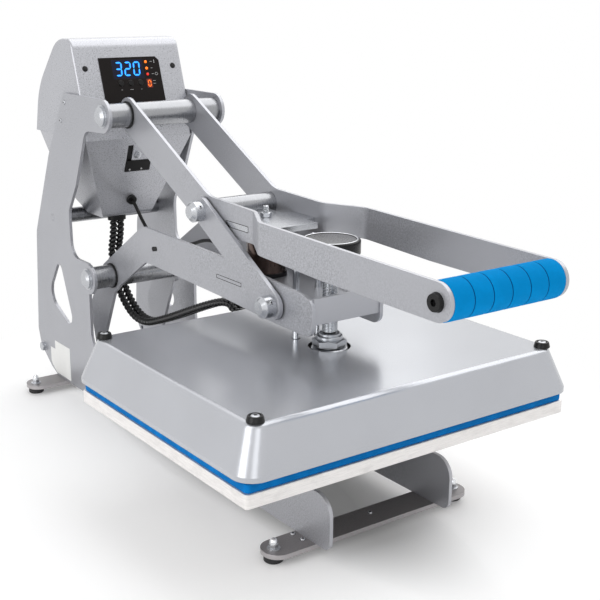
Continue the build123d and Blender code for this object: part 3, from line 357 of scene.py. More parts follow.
across_x, across_z = 0, 2
looks = {
    # frame_paint: cut edges of the plates 1.14 times as light, a painted highlight
    "frame_paint": metallic_paint("frame_paint", rgb(171, 172, 177), 0.62, 0.38, 480.0, 0.00012,
                                  flat=across_x),
    "cover_paint": metallic_paint("cover_paint", rgb(183, 185, 190), 0.66, 0.25, 1200.0, 0.000003,
                                  bevel=0.001, sparkle=0.04, Coat_Weight=0.25, Coat_Roughness=0.15),
    "head_paint": metallic_paint("head_paint", rgb(178, 179, 184), 0.65, 0.3, 800.0, 0.00004),
    # bar_metal: the bars' sides 1.6 times as light as their tops, a painted highlight along their edges
    "bar_metal": metallic_paint("bar_metal", rgb(142, 139, 140), 0.6, 0.38, 700.0, 0.00006,
                                flat=across_z, edge=1.6),
    "zinc": turned_metal("zinc", rgb(192, 194, 198), 0.26, (1, 10, 10)),
    "zinc_tube": turned_metal("zinc_tube", rgb(156, 157, 160), 0.3, (1, 0.06, 0.06), 0.00002),
    "chrome": turned_metal("chrome", rgb(226, 228, 231), 0.12, (8, 8, 1), 0.00001),
    "disc_metal": moulded("disc_metal", rgb(58, 58, 60), 0.3, 900.0, 0.00001, 1.2, Metallic=0.5),
    "magnet_shell": plated("magnet_shell", rgb(90, 72, 64)),
    "black_metal": moulded("black_metal", rgb(12, 12, 13), 0.32, 900.0, 0.00005, Specular_IOR_Level=0.3),
    "platen_metal": brushed("platen_metal", rgb(238, 235, 233)),
    "element_tube": turned_metal("element_tube", rgb(150, 146, 140), 0.5, (3, 3, 3)),
    "pad_silicone": moulded("pad_silicone", rgb(2, 108, 178), 0.7, 420.0, 0.0003, 1.3,
                            Specular_IOR_Level=0.08),
    "grip_foam": moulded("grip_foam", rgb(0, 136, 204), 0.9, 900.0, 0.0003, 1.12, Specular_IOR_Level=0.06),
    # grip_groove: a darker copy of the foam's blue, painted shade in the grooves between rounds
    "grip_groove": moulded("grip_groove", rgb(0, 60, 112), 0.9, 900.0, 0.0001, 1.1, Specular_IOR_Level=0.05),
    "foot_rubber": moulded("foot_rubber", rgb(22, 22, 24), 0.6, 900.0, 0.0001),
    "gland_rubber": moulded("gland_rubber", rgb(14, 14, 15), 0.4, Specular_IOR_Level=0.3),
    "lead_sleeve": moulded("lead_sleeve", rgb(3, 3, 4), 0.08, 900.0, 0.00001, 1.3, Specular_IOR_Level=0.5),
    "cable_skin": moulded("cable_skin", rgb(13, 12, 12), 0.32, 900.0, 0.00002, Specular_IOR_Level=0.3),
    "spring_steel": turned_metal("spring_steel", rgb(168, 168, 170), 0.28, (3, 3, 3)),
    "overlay": moulded("overlay", rgb(20, 15, 14), 0.3, 2500.0, 0.00001, 1.3, Specular_IOR_Level=0.15),
    "window": moulded("window", rgb(4, 8, 40), 0.12, 2500.0, 0.000005, 1.5, Specular_IOR_Level=0.25),
    "lamps": glow("lamps", rgb(255, 130, 20), 1.1, rgb(200, 90, 20)),
    "lamp_orange": glow("lamp_orange", rgb(255, 120, 10), 1.3, rgb(200, 80, 10)),
    "lamp_red": glow("lamp_red", rgb(226, 34, 16), 0.9, rgb(160, 20, 10)),
    "lamp_field": glow("lamp_field", rgb(120, 16, 8), 0.5, rgb(70, 8, 4)),
    "digit_blue": glow("digit_blue", rgb(0, 120, 255), 1.0, rgb(0, 70, 200)),
    "digit_core": glow("digit_core", rgb(70, 205, 255), 1.1, rgb(0, 120, 220)),
    "pale_print": moulded("pale_print", rgb(176, 176, 176), 0.6, 900.0, 0.00001, 1.05),
    "button_ring": moulded("button_ring", rgb(38, 32, 30), 0.3, Specular_IOR_Level=0.3),
    "label_paper": moulded("label_paper", rgb(236, 236, 234), 0.6, 900.0, 0.00001, 0.97),
    # dark_hollow is near black: painted shade in sockets, slots, gaps and openings
    "dark_hollow": moulded("dark_hollow", rgb(9, 9, 10), 0.7, 900.0, 0.00001, 1.3),
    "black_plastic": moulded("black_plastic", rgb(11, 10, 10), 0.35, Specular_IOR_Level=0.25),
    "board": moulded("board", rgb(18, 92, 52), 0.4),
    "supply_case": turned_metal("supply_case", rgb(188, 190, 192), 0.35, (20, 1, 1)),
    "blanket": moulded("blanket", rgb(226, 222, 212), 0.9, 900.0, 0.0004, 0.9),
}
# Slots of the record for the finishes that have none of their own
long_tubes = ("pivot_shafts", "tie_rods", "middle_tube", "tail_rod")
for node_name, node in nodes.items():
    kind = "zinc_tube" if node_name in long_tubes else node.data.materials[0].name.split(".")[0]
    for index in range(len(node.data.materials)):
        node.data.materials[index] = looks[kind]


# Shapes for the details

class Piece:
    """Shapes in millimetres, gathered into one object that rides on one body."""

    def __init__(self, name, body, *finishes):
        self.name = name
        self.body = body
        self.finishes = finishes
        self.shape = bmesh.new()

    def seat(self, at, along=(0, 0, 1), spin=0.0):
        """The matrix that stands a shape's Z axis along a direction at a point."""
        turn = Vector(along).normalized().to_track_quat("Z", "Y").to_matrix().to_4x4()
        return Matrix.Translation(Vector(at)) @ turn @ Matrix.Rotation(math.radians(spin), 4, "Z")

    def loops(self, rings, seat, finish=0, caps=True):
        """Skins a row of rings; a ring may be one point."""
        made = []
        for ring in rings:
            made.append([self.shape.verts.new(seat @ Vector(p)) for p in ring])
        faces = []
        for first, second in zip(made, made[1:]):
            count = max(len(first), len(second))
            for k in range(count):
                j = (k + 1) % count
                quad = ((first, k), (first, j), (second, j), (second, k))
                corners = list(dict.fromkeys(ring[n % len(ring)] for ring, n in quad))
                if len(corners) > 2:
                    faces.append(self.shape.faces.new(corners))
        if caps:
            if len(made[0]) > 2:
                faces.append(self.shape.faces.new(list(reversed(made[0]))))
            if len(made[-1]) > 2:
                faces.append(self.shape.faces.new(made[-1]))
        for face in faces:
            face.material_index = finish
        return self

    def turned(self, profile, at, along=(0, 0, 1), sides=32, finish=0, caps=True):
        """A shape turned about its axis from (radius, height) pairs, open at its ends without caps."""
        rings = []
        for radius, height in profile:
            if radius < 0.001:
                rings.append([(0, 0, height)])
            else:
                angles = [2 * math.pi * k / sides for k in range(sides)]
                rings.append([(radius * math.cos(a), radius * math.sin(a), height) for a in angles])
        return self.loops(rings, self.seat(at, along), finish, caps)

    def slab(self, outline, low, high, seat, finish=0, edge=0.0):
        """A flat outline with thickness and, where wanted, a small bevel round its top."""
        middle = Vector((sum(p[0] for p in outline), sum(p[1] for p in outline))) / len(outline)
        rings = [[(x, y, low) for x, y in outline], [(x, y, high - edge) for x, y in outline]]
        if edge:
            inner = []
            for x, y in outline:
                away = Vector((x, y)) - middle
                away = away - away.normalized() * edge
                inner.append((middle.x + away.x, middle.y + away.y, high))
            rings.append(inner)
        return self.loops(rings, seat, finish)

    def hexagon(self, corners, low, high, at, along=(0, 0, 1), spin=0.0, finish=0):
        """A hexagon nut or head, with its turned chamfer."""
        rings = []
        flat = corners * math.cos(math.pi / 6)
        drop = (corners - flat) * 0.6
        chamfer = flat * 0.93
        levels = ((chamfer, low, 0), (0, low, drop), (0, high, -drop), (chamfer, high, 0))
        for radius, height, lower in levels:
            ring = []
            for k in range(12):
                angle = math.pi / 6 * k
                on_corner = k % 2 == 0
                reach = radius or (corners if on_corner else flat)
                rise = lower if on_corner else lower * 0.15
                ring.append((reach * math.cos(angle), reach * math.sin(angle), height + rise))
            rings.append(ring)
        return self.loops(rings, self.seat(at, along, spin), finish)

    def thread(self, radius, depth, pitch, low, high, at, sides=32, finish=0):
        """A threaded bar: four points of the flank go round with the helix."""
        x, y, z = at
        flank = ((0.06, radius - depth), (0.34, radius - depth), (0.52, radius), (0.88, radius))
        steps = int((high - low) / pitch * sides)
        columns = []
        for step in range(steps + 1):
            angle = 2 * math.pi * step / sides
            rise = low + pitch * step / sides
            columns.append([
                self.shape.verts.new((x + r * math.cos(angle), y + r * math.sin(angle),
                                      z + min(rise + up * pitch, high)))
                for up, r in flank
            ])
        for step in range(steps):
            first, second = columns[step], columns[step + 1]
            faces = [(first[k], second[k], second[k + 1], first[k + 1]) for k in range(3)]
            if step + sides < steps:
                third, fourth = columns[step + sides], columns[step + sides + 1]
                faces.append((first[3], second[3], fourth[0], third[0]))
            for corners in faces:
                self.shape.faces.new(corners).material_index = finish
        return self

    def screw(self, at, along, radius, height, finish=0, hollow=1, sides=24, socket=0.5):
        """A round screw head with its hexagon socket painted dark as shade, over a ring of painted shadow."""
        self.turned([(radius + 0.55, -0.1), (radius + 0.5, 0.05), (0, 0.06)], at, along, sides, hollow)
        crown = [(radius * 0.86, height * 0.85), (radius * 0.6, height), (0, height)]
        self.turned([(radius, -0.3), (radius, height * 0.45), *crown], at, along, sides, finish)
        reach = radius * socket
        ring = [(reach * math.cos(math.pi / 3 * k), reach * math.sin(math.pi / 3 * k)) for k in range(6)]
        return self.slab(ring, height, height + 0.12, self.seat(at, along), hollow)

    def bar(self, first, second, radius, finish=0, sides=10):
        """A straight round bar between two points, with rounded ends."""
        first, second = Vector(first), Vector(second)
        long = (second - first).length
        end = radius * 0.4
        profile = [(0, -end), (radius * 0.8, 0), (radius, end)]
        profile += [(radius, long - end), (radius * 0.8, long), (0, long + end)]
        return self.turned(profile, first, second - first, sides, finish)

    def add(self, shape):
        """Takes in a shape made elsewhere in metres."""
        carried = bpy.data.meshes.new("carried")
        shape.to_mesh(carried)
        shape.free()
        carried.transform(Matrix.Scale(1000, 4))
        self.shape.from_mesh(carried)
        bpy.data.meshes.remove(carried)
        return self

    def done(self, sharp=32, ride=True):
        """The finished object; sharp is the angle in degrees from which an edge stays hard."""
        bmesh.ops.recalc_face_normals(self.shape, faces=self.shape.faces)
        mesh = bpy.data.meshes.new(self.name)
        self.shape.to_mesh(mesh)
        self.shape.free()
        mesh.transform(Matrix.Scale(0.001, 4))
        mesh.polygons.foreach_set("use_smooth", [True] * len(mesh.polygons))
        mesh.set_sharp_from_angle(angle=math.radians(sharp))
        for finish in self.finishes:
            mesh.materials.append(looks[finish])
        made = bpy.data.objects.new(self.name, mesh)
        scene.collection.objects.link(made)
        if ride:
            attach(made, self.body)
        return made


def rounded(width, height, radius, steps=6, x=0.0, y=0.0):
    """Outline of a rectangle with round corners."""
    points = []
    for corner, (sx, sy) in enumerate(((1, 1), (-1, 1), (-1, -1), (1, -1))):
        cx, cy = x + sx * (width / 2 - radius), y + sy * (height / 2 - radius)
        for k in range(steps + 1):
            angle = math.pi / 2 * (corner + k / steps)
            points.append((cx + radius * math.cos(angle), cy + radius * math.sin(angle)))
    return points


def stands_for(made, *replaced):
    """Hides the plain nodes that a finished object takes the place of."""
    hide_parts(*replaced)
    return made


# Cords: each is an object of its own that rides on no body, and takes the place of its plain node
for cord_name, path, shape, diameter, finish in cords:
    piece = Piece(cord_name + "_sleeve", "frame", finish)
    made = piece.add(shape).done(60, ride=False)
    if cord_name == "magnet_cable":
        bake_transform(made)
    else:
        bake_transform(made)
    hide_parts(cord_name)

# Return springs: close coils hooked on the two rods
front_rod, rear_rod, rod_height = 200.0, 745.0, 84.0
hook_radius, hook_steps, coil_radius, wire_radius = 9.1, 14, 8.5, 0.00145
coil_turns, turn_steps = 118, 12
coil_start, coil_end = front_rod + 22, rear_rod - 22


def hook(x, rod, first, sweep):
    """Points of the wire round a rod, from its first angle in degrees."""
    points = []
    for k in range(hook_steps + 1):
        angle = math.radians(first + sweep * k / hook_steps)
        back, height = rod - hook_radius * math.cos(angle), rod_height + hook_radius * math.sin(angle)
        points.append(mm(*at(x, back, height)))
    return points


for spring_name, x in (("left", -28.0), ("right", 28.0)):
    wire = hook(x, front_rod, -60, 240)
    steps = coil_turns * turn_steps
    for k in range(steps + 1):
        angle = 2 * math.pi * k / turn_steps
        reach = coil_radius * min(1, (k + 3) / 9, (steps - k + 3) / 9)
        back = coil_start + (coil_end - coil_start) * k / steps
        wire.append(mm(*at(x + reach * math.sin(angle), back, rod_height + reach * math.cos(angle))))
    wire += hook(x, rear_rod, 180, -240)
    piece = Piece("return_spring_" + spring_name, "frame", "spring_steel")
    made = piece.add(tube(wire, 7, lambda distance, angle: wire_radius)).done(70)
    if x < 0:
        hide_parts("return_springs")
    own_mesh(made)

# Pressure spindle: threaded bar, hexagon nut and dome washer
spindle = at(0, 182.5, 0)
piece = Piece("threaded_spindle", "pressure_screw", "chrome", "zinc", "black_metal")
piece.turned([(0, 200.4), (9.2, 200.4), (9.6, 201.2), (9.6, 224.2)], spindle, sides=32)
piece.hexagon(23.0, 224.3, 235.2, spindle, spin=18, finish=1)
washers = [(16.8, 235.2), (17.4, 236.0), (17.4, 238.6), (16.8, 239.5),
           (14.0, 239.6), (14.0, 242.2), (13.2, 243.0), (9.0, 243.1)]
piece.turned(washers, spindle, sides=48, finish=1)
piece.turned([(8.6, 238.0), (8.6, 360.8), (0, 360.8)], spindle, sides=32, finish=2)
piece.thread(10.38, 1.6, 2.0, 243.1, 346.8, spindle, sides=36)
stands_for(piece.done(24), "pressure_spindle")

# Dark disc and bright rim on top of the knob
piece = Piece("knob_disc", "pressure_screw", "disc_metal", "chrome")
piece.turned([(33.0, 365.7), (32.9, 366.3), (32.2, 366.42), (31.0, 366.45), (0, 366.5)], spindle, sides=96)
rim = [(33.0, 365.8), (33.1, 366.8), (34.0, 367.25), (35.0, 367.2), (35.5, 366.9)]
piece.turned(rim, spindle, sides=96, finish=1, caps=False)
piece.done(40)

# Floor and rim of the opening round the spindle, painted dark as the shade inside it
piece = Piece("opening_rim", "heat_head", "dark_hollow")
piece.turned([(10.0, 221.0), (27.7, 221.0), (27.7, 223.8)], spindle, sides=64, caps=False)
piece.done(40)

# Keeper plate: stud, two nuts and the slot in its end, the slot a dark sheet of painted shade
piece = Piece("keeper_stud", "handle", "chrome", "zinc", "dark_hollow")
keeper = at(0, 328, 0)
piece.turned([(0, 344.1), (3.4, 344.1), (3.4, 385.2), (2.6, 385.9), (0, 385.9)], keeper, sides=24)
piece.thread(3.98, 0.55, 1.25, 344.4, 385.3, keeper, sides=24)
piece.hexagon(8.0, 355.5, 361.95, keeper, spin=10, finish=1)
piece.hexagon(8.0, 370.05, 376.5, keeper, spin=32, finish=1)
piece.slab(rounded(5.6, 1.1, 0.5, 3), 385.85, 386.0, piece.seat(keeper, spin=25), finish=2)
stands_for(piece.done(28), "keeper_bolt")

# Foam grip in six rounds, and the blue pad
piece = Piece("foam_sleeve", "handle", "grip_foam", "grip_groove")
grip_half, grip_rounds = 82.6, 6
step = 2 * grip_half / grip_rounds
for n in range(grip_rounds):
    start = at(-grip_half + n * step, -109, 365)
    profile = [(12.6, 0.05), (20.6, 0.05), (21.8, 0.35), (22.3, 1.0), (22.45, 3.0), (22.48, step / 2)]
    profile += [(reach, step - height) for reach, height in reversed(profile[:-1])]
    piece.turned(profile, start, (1, 0, 0), sides=72, caps=False)
    # Darker bands in the grooves between the rounds: painted shade
    if n:
        piece.turned([(22.0, -0.95), (22.0, 0.95)], start, (1, 0, 0), sides=72, finish=1, caps=False)
made = stands_for(piece.done(50), "foam_grip")

low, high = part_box("silicone_pad")
pad_width, pad_depth = (high.x - low.x) * 1000, (high.y - low.y) * 1000
pad_low, pad_high, pad_middle = low.z * 1000, high.z * 1000, (low.y + high.y) * 500
pad_corner = 6.0
piece = Piece("blue_pad", "frame", "pad_silicone")
rings = []
for share, inset in ((0, 1.4), (0.05, 0.5), (0.16, 0.08), (0.5, 0.0), (0.84, 0.08), (0.95, 0.5), (1, 1.4)):
    height = pad_low + share * (pad_high - pad_low)
    ring = rounded(pad_width - 2 * inset, pad_depth - 2 * inset, pad_corner - inset * 0.5, 8, 0, pad_middle)
    rings.append([(px, py, height) for px, py in ring])
piece.loops(rings, Matrix.Identity(4))
stands_for(piece.done(60), "silicone_pad")

# Corner caps of the cover, with their screws
piece = Piece("corner_caps", "heat_head", "black_metal", "zinc", "dark_hollow")
cap = [(10.4, 224.05), (10.5, 225.4), (10.2, 226.2), (9.1, 230.4), (8.4, 231.1),
       (6.4, 231.1), (6.0, 230.4), (6.0, 229.8), (0, 229.8)]
for x in (-224, 224):
    for back in (20.5, 379.5):
        place = at(x, back, 0)
        piece.turned([(0, 171.2), (4.5, 171.2), (4.5, 223.9)], place, sides=20, finish=1)
        piece.turned(cap, place, sides=40)
        piece.screw(at(x, back, 229.8), (0, 0, 1), 5.3, 1.7, 1, 2, 28, 0.42)
stands_for(piece.done(), "cover_caps")

# Bolts of the side plates: earth bolts low at the back, spring rod bolts, and flush plugs of the tie tube
plate_face, arm_face = 100, 57.0  # outer faces of the side plates and of the arms
piece = Piece("plate_bolts", "frame", "zinc", "frame_paint")
dome = [(7.0, 0), (7.0, 3.2), (5.4, 4.6), (0, 5.0)]
plug = [(6.2, 0), (6.2, 0.15), (5.9, 0.25), (0, 0.25)]
for side in (-1, 1):
    way = (side, 0, 0)
    earth = at(side * plate_face, 881, 55)
    piece.turned([(7.6, 0), (7.6, 1.0), (7.0, 1.2)], earth, way, 32)
    piece.hexagon(8.2, 1.0, 5.9, earth, way, 10)
    piece.turned(dome, at(side * plate_face, front_rod, rod_height), way, 28)
    piece.turned(plug, at(side * plate_face, 815, 299), way, 32, 1)
stands_for(piece.done(), "side_bolts")

# Set screws in the collars of the link and front pins
collar_side, collar_radius = 72.4, 14.35
for name, body, back, height in (
    ("link_set_screws", "links", 392, 375), ("pin_set_screws", "platen_arm", 222, 279),
):
    piece = Piece(name, body, "zinc", "dark_hollow")
    for side in (-1, 1):
        for angle in (35, 155):
            way = (0, -math.cos(math.radians(angle)), math.sin(math.radians(angle)))
            x, y, z = at(side * collar_side, back, height)
            place = (x, y + way[1] * collar_radius, z + way[2] * collar_radius)
            piece.screw(place, way, 2.5, 0.5, 0, 1, 16, 0.6)
    piece.done()

# Display: digits, lamps and marks on the panel's plane
fold_back, fold_height = 688, 478
digit_row, button_row = 60.6, 47.8  # up the panel from its fold
lean = math.atan(1 / 3)
up_panel = Vector((0, math.sin(lean), math.cos(lean)))
out_panel = Vector((0, -math.cos(lean), math.sin(lean)))


def on_panel(x, along, out=0.0):
    """A point on the panel: across, up its face from the fold, and out of it."""
    return Vector(at(x, fold_back, fold_height)) + up_panel * along + out_panel * out


panel_turn = Matrix((Vector((1, 0, 0)), up_panel, out_panel)).transposed().to_4x4()


def panel_seat(x, along, out):
    """The matrix that lays a flat shape on the panel."""
    return Matrix.Translation(on_panel(x, along, out)) @ panel_turn


# Which of the seven bars of a digit are lit, from the top one round and the middle one last
bars_of = {"3": (1, 1, 1, 1, 0, 0, 1), "2": (1, 1, 0, 1, 1, 0, 1), "0": (1, 1, 1, 1, 1, 1, 0)}


def digit(piece, sign, x, along, width, height, thick, out, slant=0.08, finish=0):
    """One digit of lit bars, from its foot up the panel."""
    half = height / 2
    gap = thick * 0.18
    w = width / 2
    places = (
        ((-w, height), (w, height)), ((w, half), (w, height)), ((w, 0), (w, half)), ((-w, 0), (w, 0)),
        ((-w, 0), (-w, half)), ((-w, half), (-w, height)), ((-w, half), (w, half)),
    )
    for lit, (first, second) in zip(bars_of[sign], places):
        if not lit:
            continue
        first, second = Vector(first), Vector(second)
        way = (second - first).normalized()
        aside = Vector((-way.y, way.x))
        a, b = first + way * (gap + thick * 0.1), second - way * (gap + thick * 0.1)
        t = thick / 2
        outline = [a, a + way * t - aside * t, b - way * t - aside * t]
        outline += [b, b - way * t + aside * t, a + way * t + aside * t]
        piece.slab([(p.x + p.y * slant, p.y) for p in outline], 0, 0.08, panel_seat(x, along, out), finish)


piece = Piece("display_digits", "frame", "digit_blue", "digit_core")
for sign, x in (("3", -21.8), ("2", -6.0), ("0", 9.8)):
    digit(piece, sign, x, digit_row, 9.6, 20.4, 3.2, 1.32)
    digit(piece, sign, x, digit_row, 9.6, 20.4, 1.3, 1.42, finish=1)
piece.done()

piece = Piece("small_readout", "frame", "lamp_field", "lamp_orange")
piece.slab(rounded(9.6, 14.0, 0.8, 3), 0, 0.1, panel_seat(29.6, 46.4, 1.22), 0)
digit(piece, "0", 29.3, 41.4, 4.4, 9.6, 1.5, 1.34, 0.06, 1)
piece.done()

piece = Piece("lamp_lenses", "frame", "lamp_orange", "lamp_red")
lens = [(2.3, 0), (2.2, 0.5), (1.5, 0.95), (0.7, 1.1), (0, 1.12)]
for along, finish in ((81.2, 0), (70.7, 0), (61.1, 1)):
    piece.turned(lens, on_panel(28.7, along, 1.3), out_panel, 20, finish)
stands_for(piece.done(), "status_lamps")

piece = Piece("panel_marks", "frame", "pale_print", "button_ring")
rim = [(4.7, 0), (4.7, 0.2), (5.1, 0.25), (5.4, 0.0)]
for x in (-21.3, -4.0, 13.3):
    piece.turned(rim, on_panel(x, button_row, 1.2), out_panel, 32, 1, caps=False)
for x, width in ((-21.3, 2.6), (-4.0, 5.6), (13.3, 2.6)):
    piece.slab(rounded(width, 0.7, 0.3, 2), 0, 0.05, panel_seat(x, 37.6, 1.22))
for along, width in ((81.4, 4.4), (70.9, 3.2), (61.3, 4.4), (50.2, 5.0), (45.8, 5.0)):
    piece.slab(rounded(width, 0.7, 0.3, 2), 0, 0.05, panel_seat(36.2 + width / 2, along, 1.22))
ring = [(1.9, 0), (1.9, 0.06), (2.5, 0.06), (2.5, 0)]
piece.turned(ring, on_panel(44.6, 61.3, 1.2), out_panel, 24, caps=False)
piece.bar(on_panel(43.9, 78.8, 1.2), on_panel(43.9, 84.0, 1.2), 0.5)
piece.done()

# Screws of the head and the side plates
piece = Piece("head_screws", "frame", "black_metal", "dark_hollow")
for x in (-77.6, 77.6):
    piece.screw(on_panel(x, 73.8, 0.0), out_panel, 4.2, 1.9, 0, 1, 28, 0.5)
piece.done()

piece = Piece("plate_screws", "frame", "zinc", "dark_hollow")
for side in (-1, 1):
    for back, height in ((746, 495), (762, 465)):
        piece.screw(at(side * plate_face, back, height), (side, 0, 0), 3.4, 1.3, 0, 1, 24, 0.5)
piece.done()

# The lip's foot, and how far it leans back for each millimetre of height
lip_back, lip_height, lip_lean = 685, 439, 3 / 39


def on_lip(x, height):
    """A point on the head's lower lip."""
    return at(x, lip_back + (height - lip_height) * lip_lean, height)


piece = Piece("lip_fastenings", "frame", "zinc", "dark_hollow")
front = (0, -1, 0.08)
for x, height, radius in ((18.9, 458.1, 3.0), (41.1, 456.6, 3.0), (86.6, 456.8, 2.0), (-86.6, 456.8, 2.0)):
    piece.screw(on_lip(x, height), front, radius, 1.0, 0, 1, 20, 0.45)
piece.bar(on_lip(15.6, 461.4), on_lip(49.5, 461.0), 0.35, 1)
piece.bar(on_lip(32.0, 440.0), on_lip(32.0, 453.0), 0.5, 1)
piece.done()

# Nut, small screws and grommet on the housing's wall, which slopes from the lip's foot back to its own
wall_foot_back, wall_foot_height = 726.9, 333
wall_slope = (wall_foot_back - lip_back) / (lip_height - wall_foot_height)
wall_out = Vector((0, -1, -wall_slope)).normalized()


def on_wall(x, height, out=0.0):
    """A point on the sloping wall, or off it."""
    return Vector(at(x, lip_back + (lip_height - height) * wall_slope, height)) + wall_out * out


piece = Piece("wall_fastenings", "frame", "zinc", "pale_print", "gland_rubber")
earth_stud = on_wall(0.6, 410.4)
piece.turned([(6.6, -0.2), (6.6, 0.7), (5.8, 1.0)], earth_stud, wall_out, 28)
piece.hexagon(5.2, 0.7, 4.2, earth_stud, wall_out, 14)
piece.turned([(2.6, 4.0), (2.6, 5.4), (0, 5.7)], earth_stud, wall_out, 18)
for x in (-10.1, 11.0):
    piece.turned([(1.7, 0), (1.6, 0.5), (0.9, 0.9), (0, 1.0)], on_wall(x, 386.1, 0.9), wall_out, 16, finish=1)
grommet = [(5.4, 0), (5.6, 1.6), (7.0, 2.3), (8.1, 1.6), (8.4, 0)]
piece.turned(grommet, on_wall(1.8, 333.0), wall_out, 36, 2, caps=False)
piece.done()

# Outlines of the tabs let into the arms
for name, body, back, long, height, tall in (
    ("arm_tab_lines", "platen_arm", 335, 62, 287.2, 5.0), ("handle_tab_lines", "handle", 313, 54, 366, 8.0),
):
    piece = Piece(name, body, "dark_hollow")
    corners = [(back - long / 2, height - tall / 2), (back + long / 2, height - tall / 2),
               (back + long / 2, height + tall / 2), (back - long / 2, height + tall / 2)]
    for side in (-1, 1):
        x = side * (arm_face - 0.15)
        for first, second in zip(corners, corners[1:] + corners[:1]):
            piece.bar(at(x, *first), at(x, *second), 0.45)
    piece.done()

# Blinds in the slots of the lower arms, dark as painted shade, and weld beads at the ends of the cross
# plate's web
blind_side, weld_side = 55.6, 50.6
piece = Piece("slot_shade_blinds", "platen_arm", "dark_hollow", "zinc")
for side in (-1, 1):
    piece.turned([(10.0, 0), (10.0, 0.5), (0, 0.5)], at(side * blind_side, 543, 291), (side, 0, 0), 24)
    for height, radius in ((268, 2.2), (274, 2.6), (280, 2.1)):
        x, back = side * weld_side, 150.2
        piece.bar(at(x, back, height - 1), at(x, back, height + 1.4), radius, 1, 8)
piece.done()

# Foot bars: tall acorn nuts over the feet, and screws
piece = Piece("foot_nuts", "frame", "chrome", "zinc", "dark_hollow")
acorn = [(5.0, 6.8), (5.0, 9.2), (4.6, 11.0), (3.4, 13.0), (1.6, 14.0), (0, 14.2)]
bar_top = 16
for back in (96, 812):
    for x in (-148, 148):
        place = at(x, back, bar_top)
        piece.turned([(8.4, 0), (8.4, 1.2), (7.8, 1.5)], place, sides=32, finish=1)
        piece.hexagon(6.2, 1.4, 7.0, place, spin=12, finish=1)
        piece.turned(acorn, place, sides=28)
for x, back in ((8.5, 102), (105.6, 93.9), (107.3, 112.7), (-105.6, 93.9), (-107.3, 112.7)):
    piece.screw(at(x, back, bar_top), (0, 0, 1), 3.2, 1.6, 1, 2, 20, 0.5)
piece.done()

# Blank label low on the left side plate
piece = Piece("blank_label", "frame", "label_paper")
turned_out = Matrix(((0, 0, -1), (-1, 0, 0), (0, 1, 0))).to_4x4()
label_edge = [(774, 20), (832, 20), (848, 30), (853, 36), (853, 62), (834, 62), (834, 78), (774, 78)]
label_back, label_height = 813, 49
label_seat = Matrix.Translation(Vector(at(-plate_face, label_back, label_height))) @ turned_out
piece.slab([(label_back - back, height - label_height) for back, height in label_edge], 0, 0.18, label_seat)
piece.done()


# Floor and light

def area_light(name, place, aim, size, power):
    """A white soft box, in metres and watts."""
    data = bpy.data.lights.new(name, "AREA")
    data.shape = "RECTANGLE"
    data.size, data.size_y = size
    data.energy = power
    lamp = bpy.data.objects.new(name, data)
    lamp.location = place
    lamp.rotation_euler = (Vector(aim) - Vector(place)).to_track_quat("-Z", "Y").to_euler()
    scene.collection.objects.link(lamp)


area_light("left", (-2.3, -0.45, 1.0), (0, 0, 0.2), (1.4, 2.2), 22)
area_light("front", (-1.25, -2.5, 1.1), (-0.1, 0, 0.25), (1.1, 1.8), 7)
area_light("top", (1.2, 0.3, 2.5), (0, 0, 0.2), (3.6, 3.0), 46)
area_light("back", (0.9, 2.2, 1.8), (0, 0.1, 0.3), (2.6, 1.6), 6)


def seen_share(look_tree):
    """1 for rays from the camera, and for what metal and glass show."""
    rays = look_tree.nodes.new("ShaderNodeLightPath")
    total = rays.outputs["Is Camera Ray"]
    for name in ("Is Glossy Ray", "Is Transmission Ray"):
        larger = look_tree.nodes.new("ShaderNodeMath")
        larger.operation = "MAXIMUM"
        look_tree.links.new(total, larger.inputs[0])
        look_tree.links.new(rays.outputs[name], larger.inputs[1])
        total = larger.outputs[0]
    return total


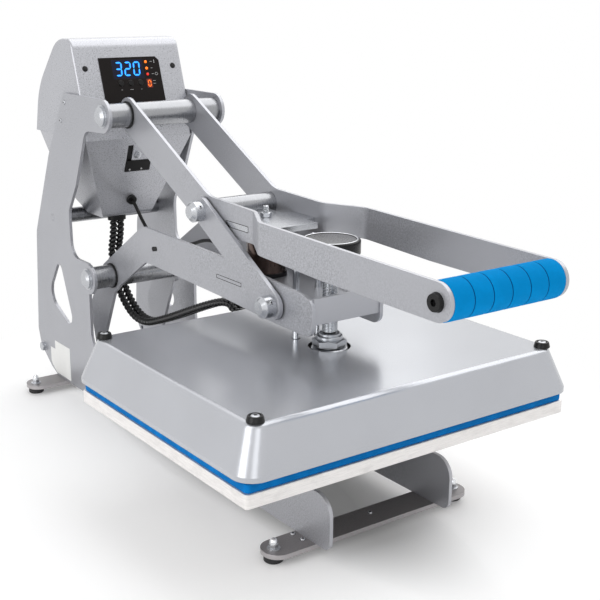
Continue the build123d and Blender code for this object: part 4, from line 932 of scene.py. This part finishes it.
white = (1, 1, 1, 1)
sky_strength, seen_strength, floor_lift = 0.6, 1.0, 0.13
world = bpy.data.worlds.new("studio")
scene.world = world
world.use_nodes = True
tree = world.node_tree
sky = tree.nodes["Background"]
sky.inputs["Color"].default_value = white
sky.inputs["Strength"].default_value = sky_strength
seen = tree.nodes.new("ShaderNodeBackground")
seen.inputs["Color"].default_value = white
seen.inputs["Strength"].default_value = seen_strength
join = tree.nodes.new("ShaderNodeMixShader")
tree.links.new(seen_share(tree), join.inputs["Fac"])
tree.links.new(sky.outputs[0], join.inputs[1])
tree.links.new(seen.outputs[0], join.inputs[2])
tree.links.new(join.outputs[0], tree.nodes["World Output"].inputs["Surface"])

floor_half = 15
floor_mesh = bpy.data.meshes.new("floor")
corners = [(x * floor_half, y * floor_half, 0) for x, y in ((-1, -1), (1, -1), (1, 1), (-1, 1))]
floor_mesh.from_pydata(corners, [], [(0, 1, 2, 3)])
floor = bpy.data.objects.new("floor", floor_mesh)
scene.collection.objects.link(floor)
pale, painted_shadow = (0.93, 0.93, 0.93, 1.0), (0.16, 0.16, 0.16, 1.0)
ground = Look("floor", pale, 0.0, 0.6)
# The shaded floor round the object gives way to a plain white one farther out
middle = ground.node("ShaderNodeVectorMath", operation="DISTANCE")
ground.link(ground.place(), middle.inputs[0])
middle.inputs[1].default_value = (0.0, 0.05, 0.0)
fade_start, fade_end = 0.38, 0.7
far = ground.spread(middle.outputs["Value"], 0.0, 1.0, fade_start, fade_end)
# and is darker between the side plates, a painted shadow of the shade under the machine
half_width, half_depth = 0.11, 0.46
under = ground.node("ShaderNodeVectorMath", operation="LENGTH")
ground.link(ground.place((1 / half_width, 1 / half_depth, 1)), under.inputs[0])
ground.paint(ground.mixed(ground.spread(under.outputs["Value"], 0.0, 1.0, 0.55, 1.15), painted_shadow, pale))
beyond = ground.node("ShaderNodeEmission")
beyond.inputs["Color"].default_value = white
share = ground.node("ShaderNodeMath", operation="MULTIPLY")
ground.link(far, share.inputs[0])
ground.link(seen_share(ground.tree), share.inputs[1])
ground.shader.inputs["Emission Color"].default_value = white
lift = ground.spread(seen_share(ground.tree), 0.0, floor_lift, 0.0, 1.0)
ground.link(lift, ground.shader.inputs["Emission Strength"])
blend = ground.node("ShaderNodeMixShader")
ground.link(share.outputs[0], blend.inputs["Fac"])
ground.link(ground.shader.outputs[0], blend.inputs[1])
ground.link(beyond.outputs[0], blend.inputs[2])
ground.link(blend.outputs[0], ground.tree.nodes["Material Output"].inputs["Surface"])
floor.data.materials.append(ground.mat)

scene.view_settings.view_transform = "Standard"
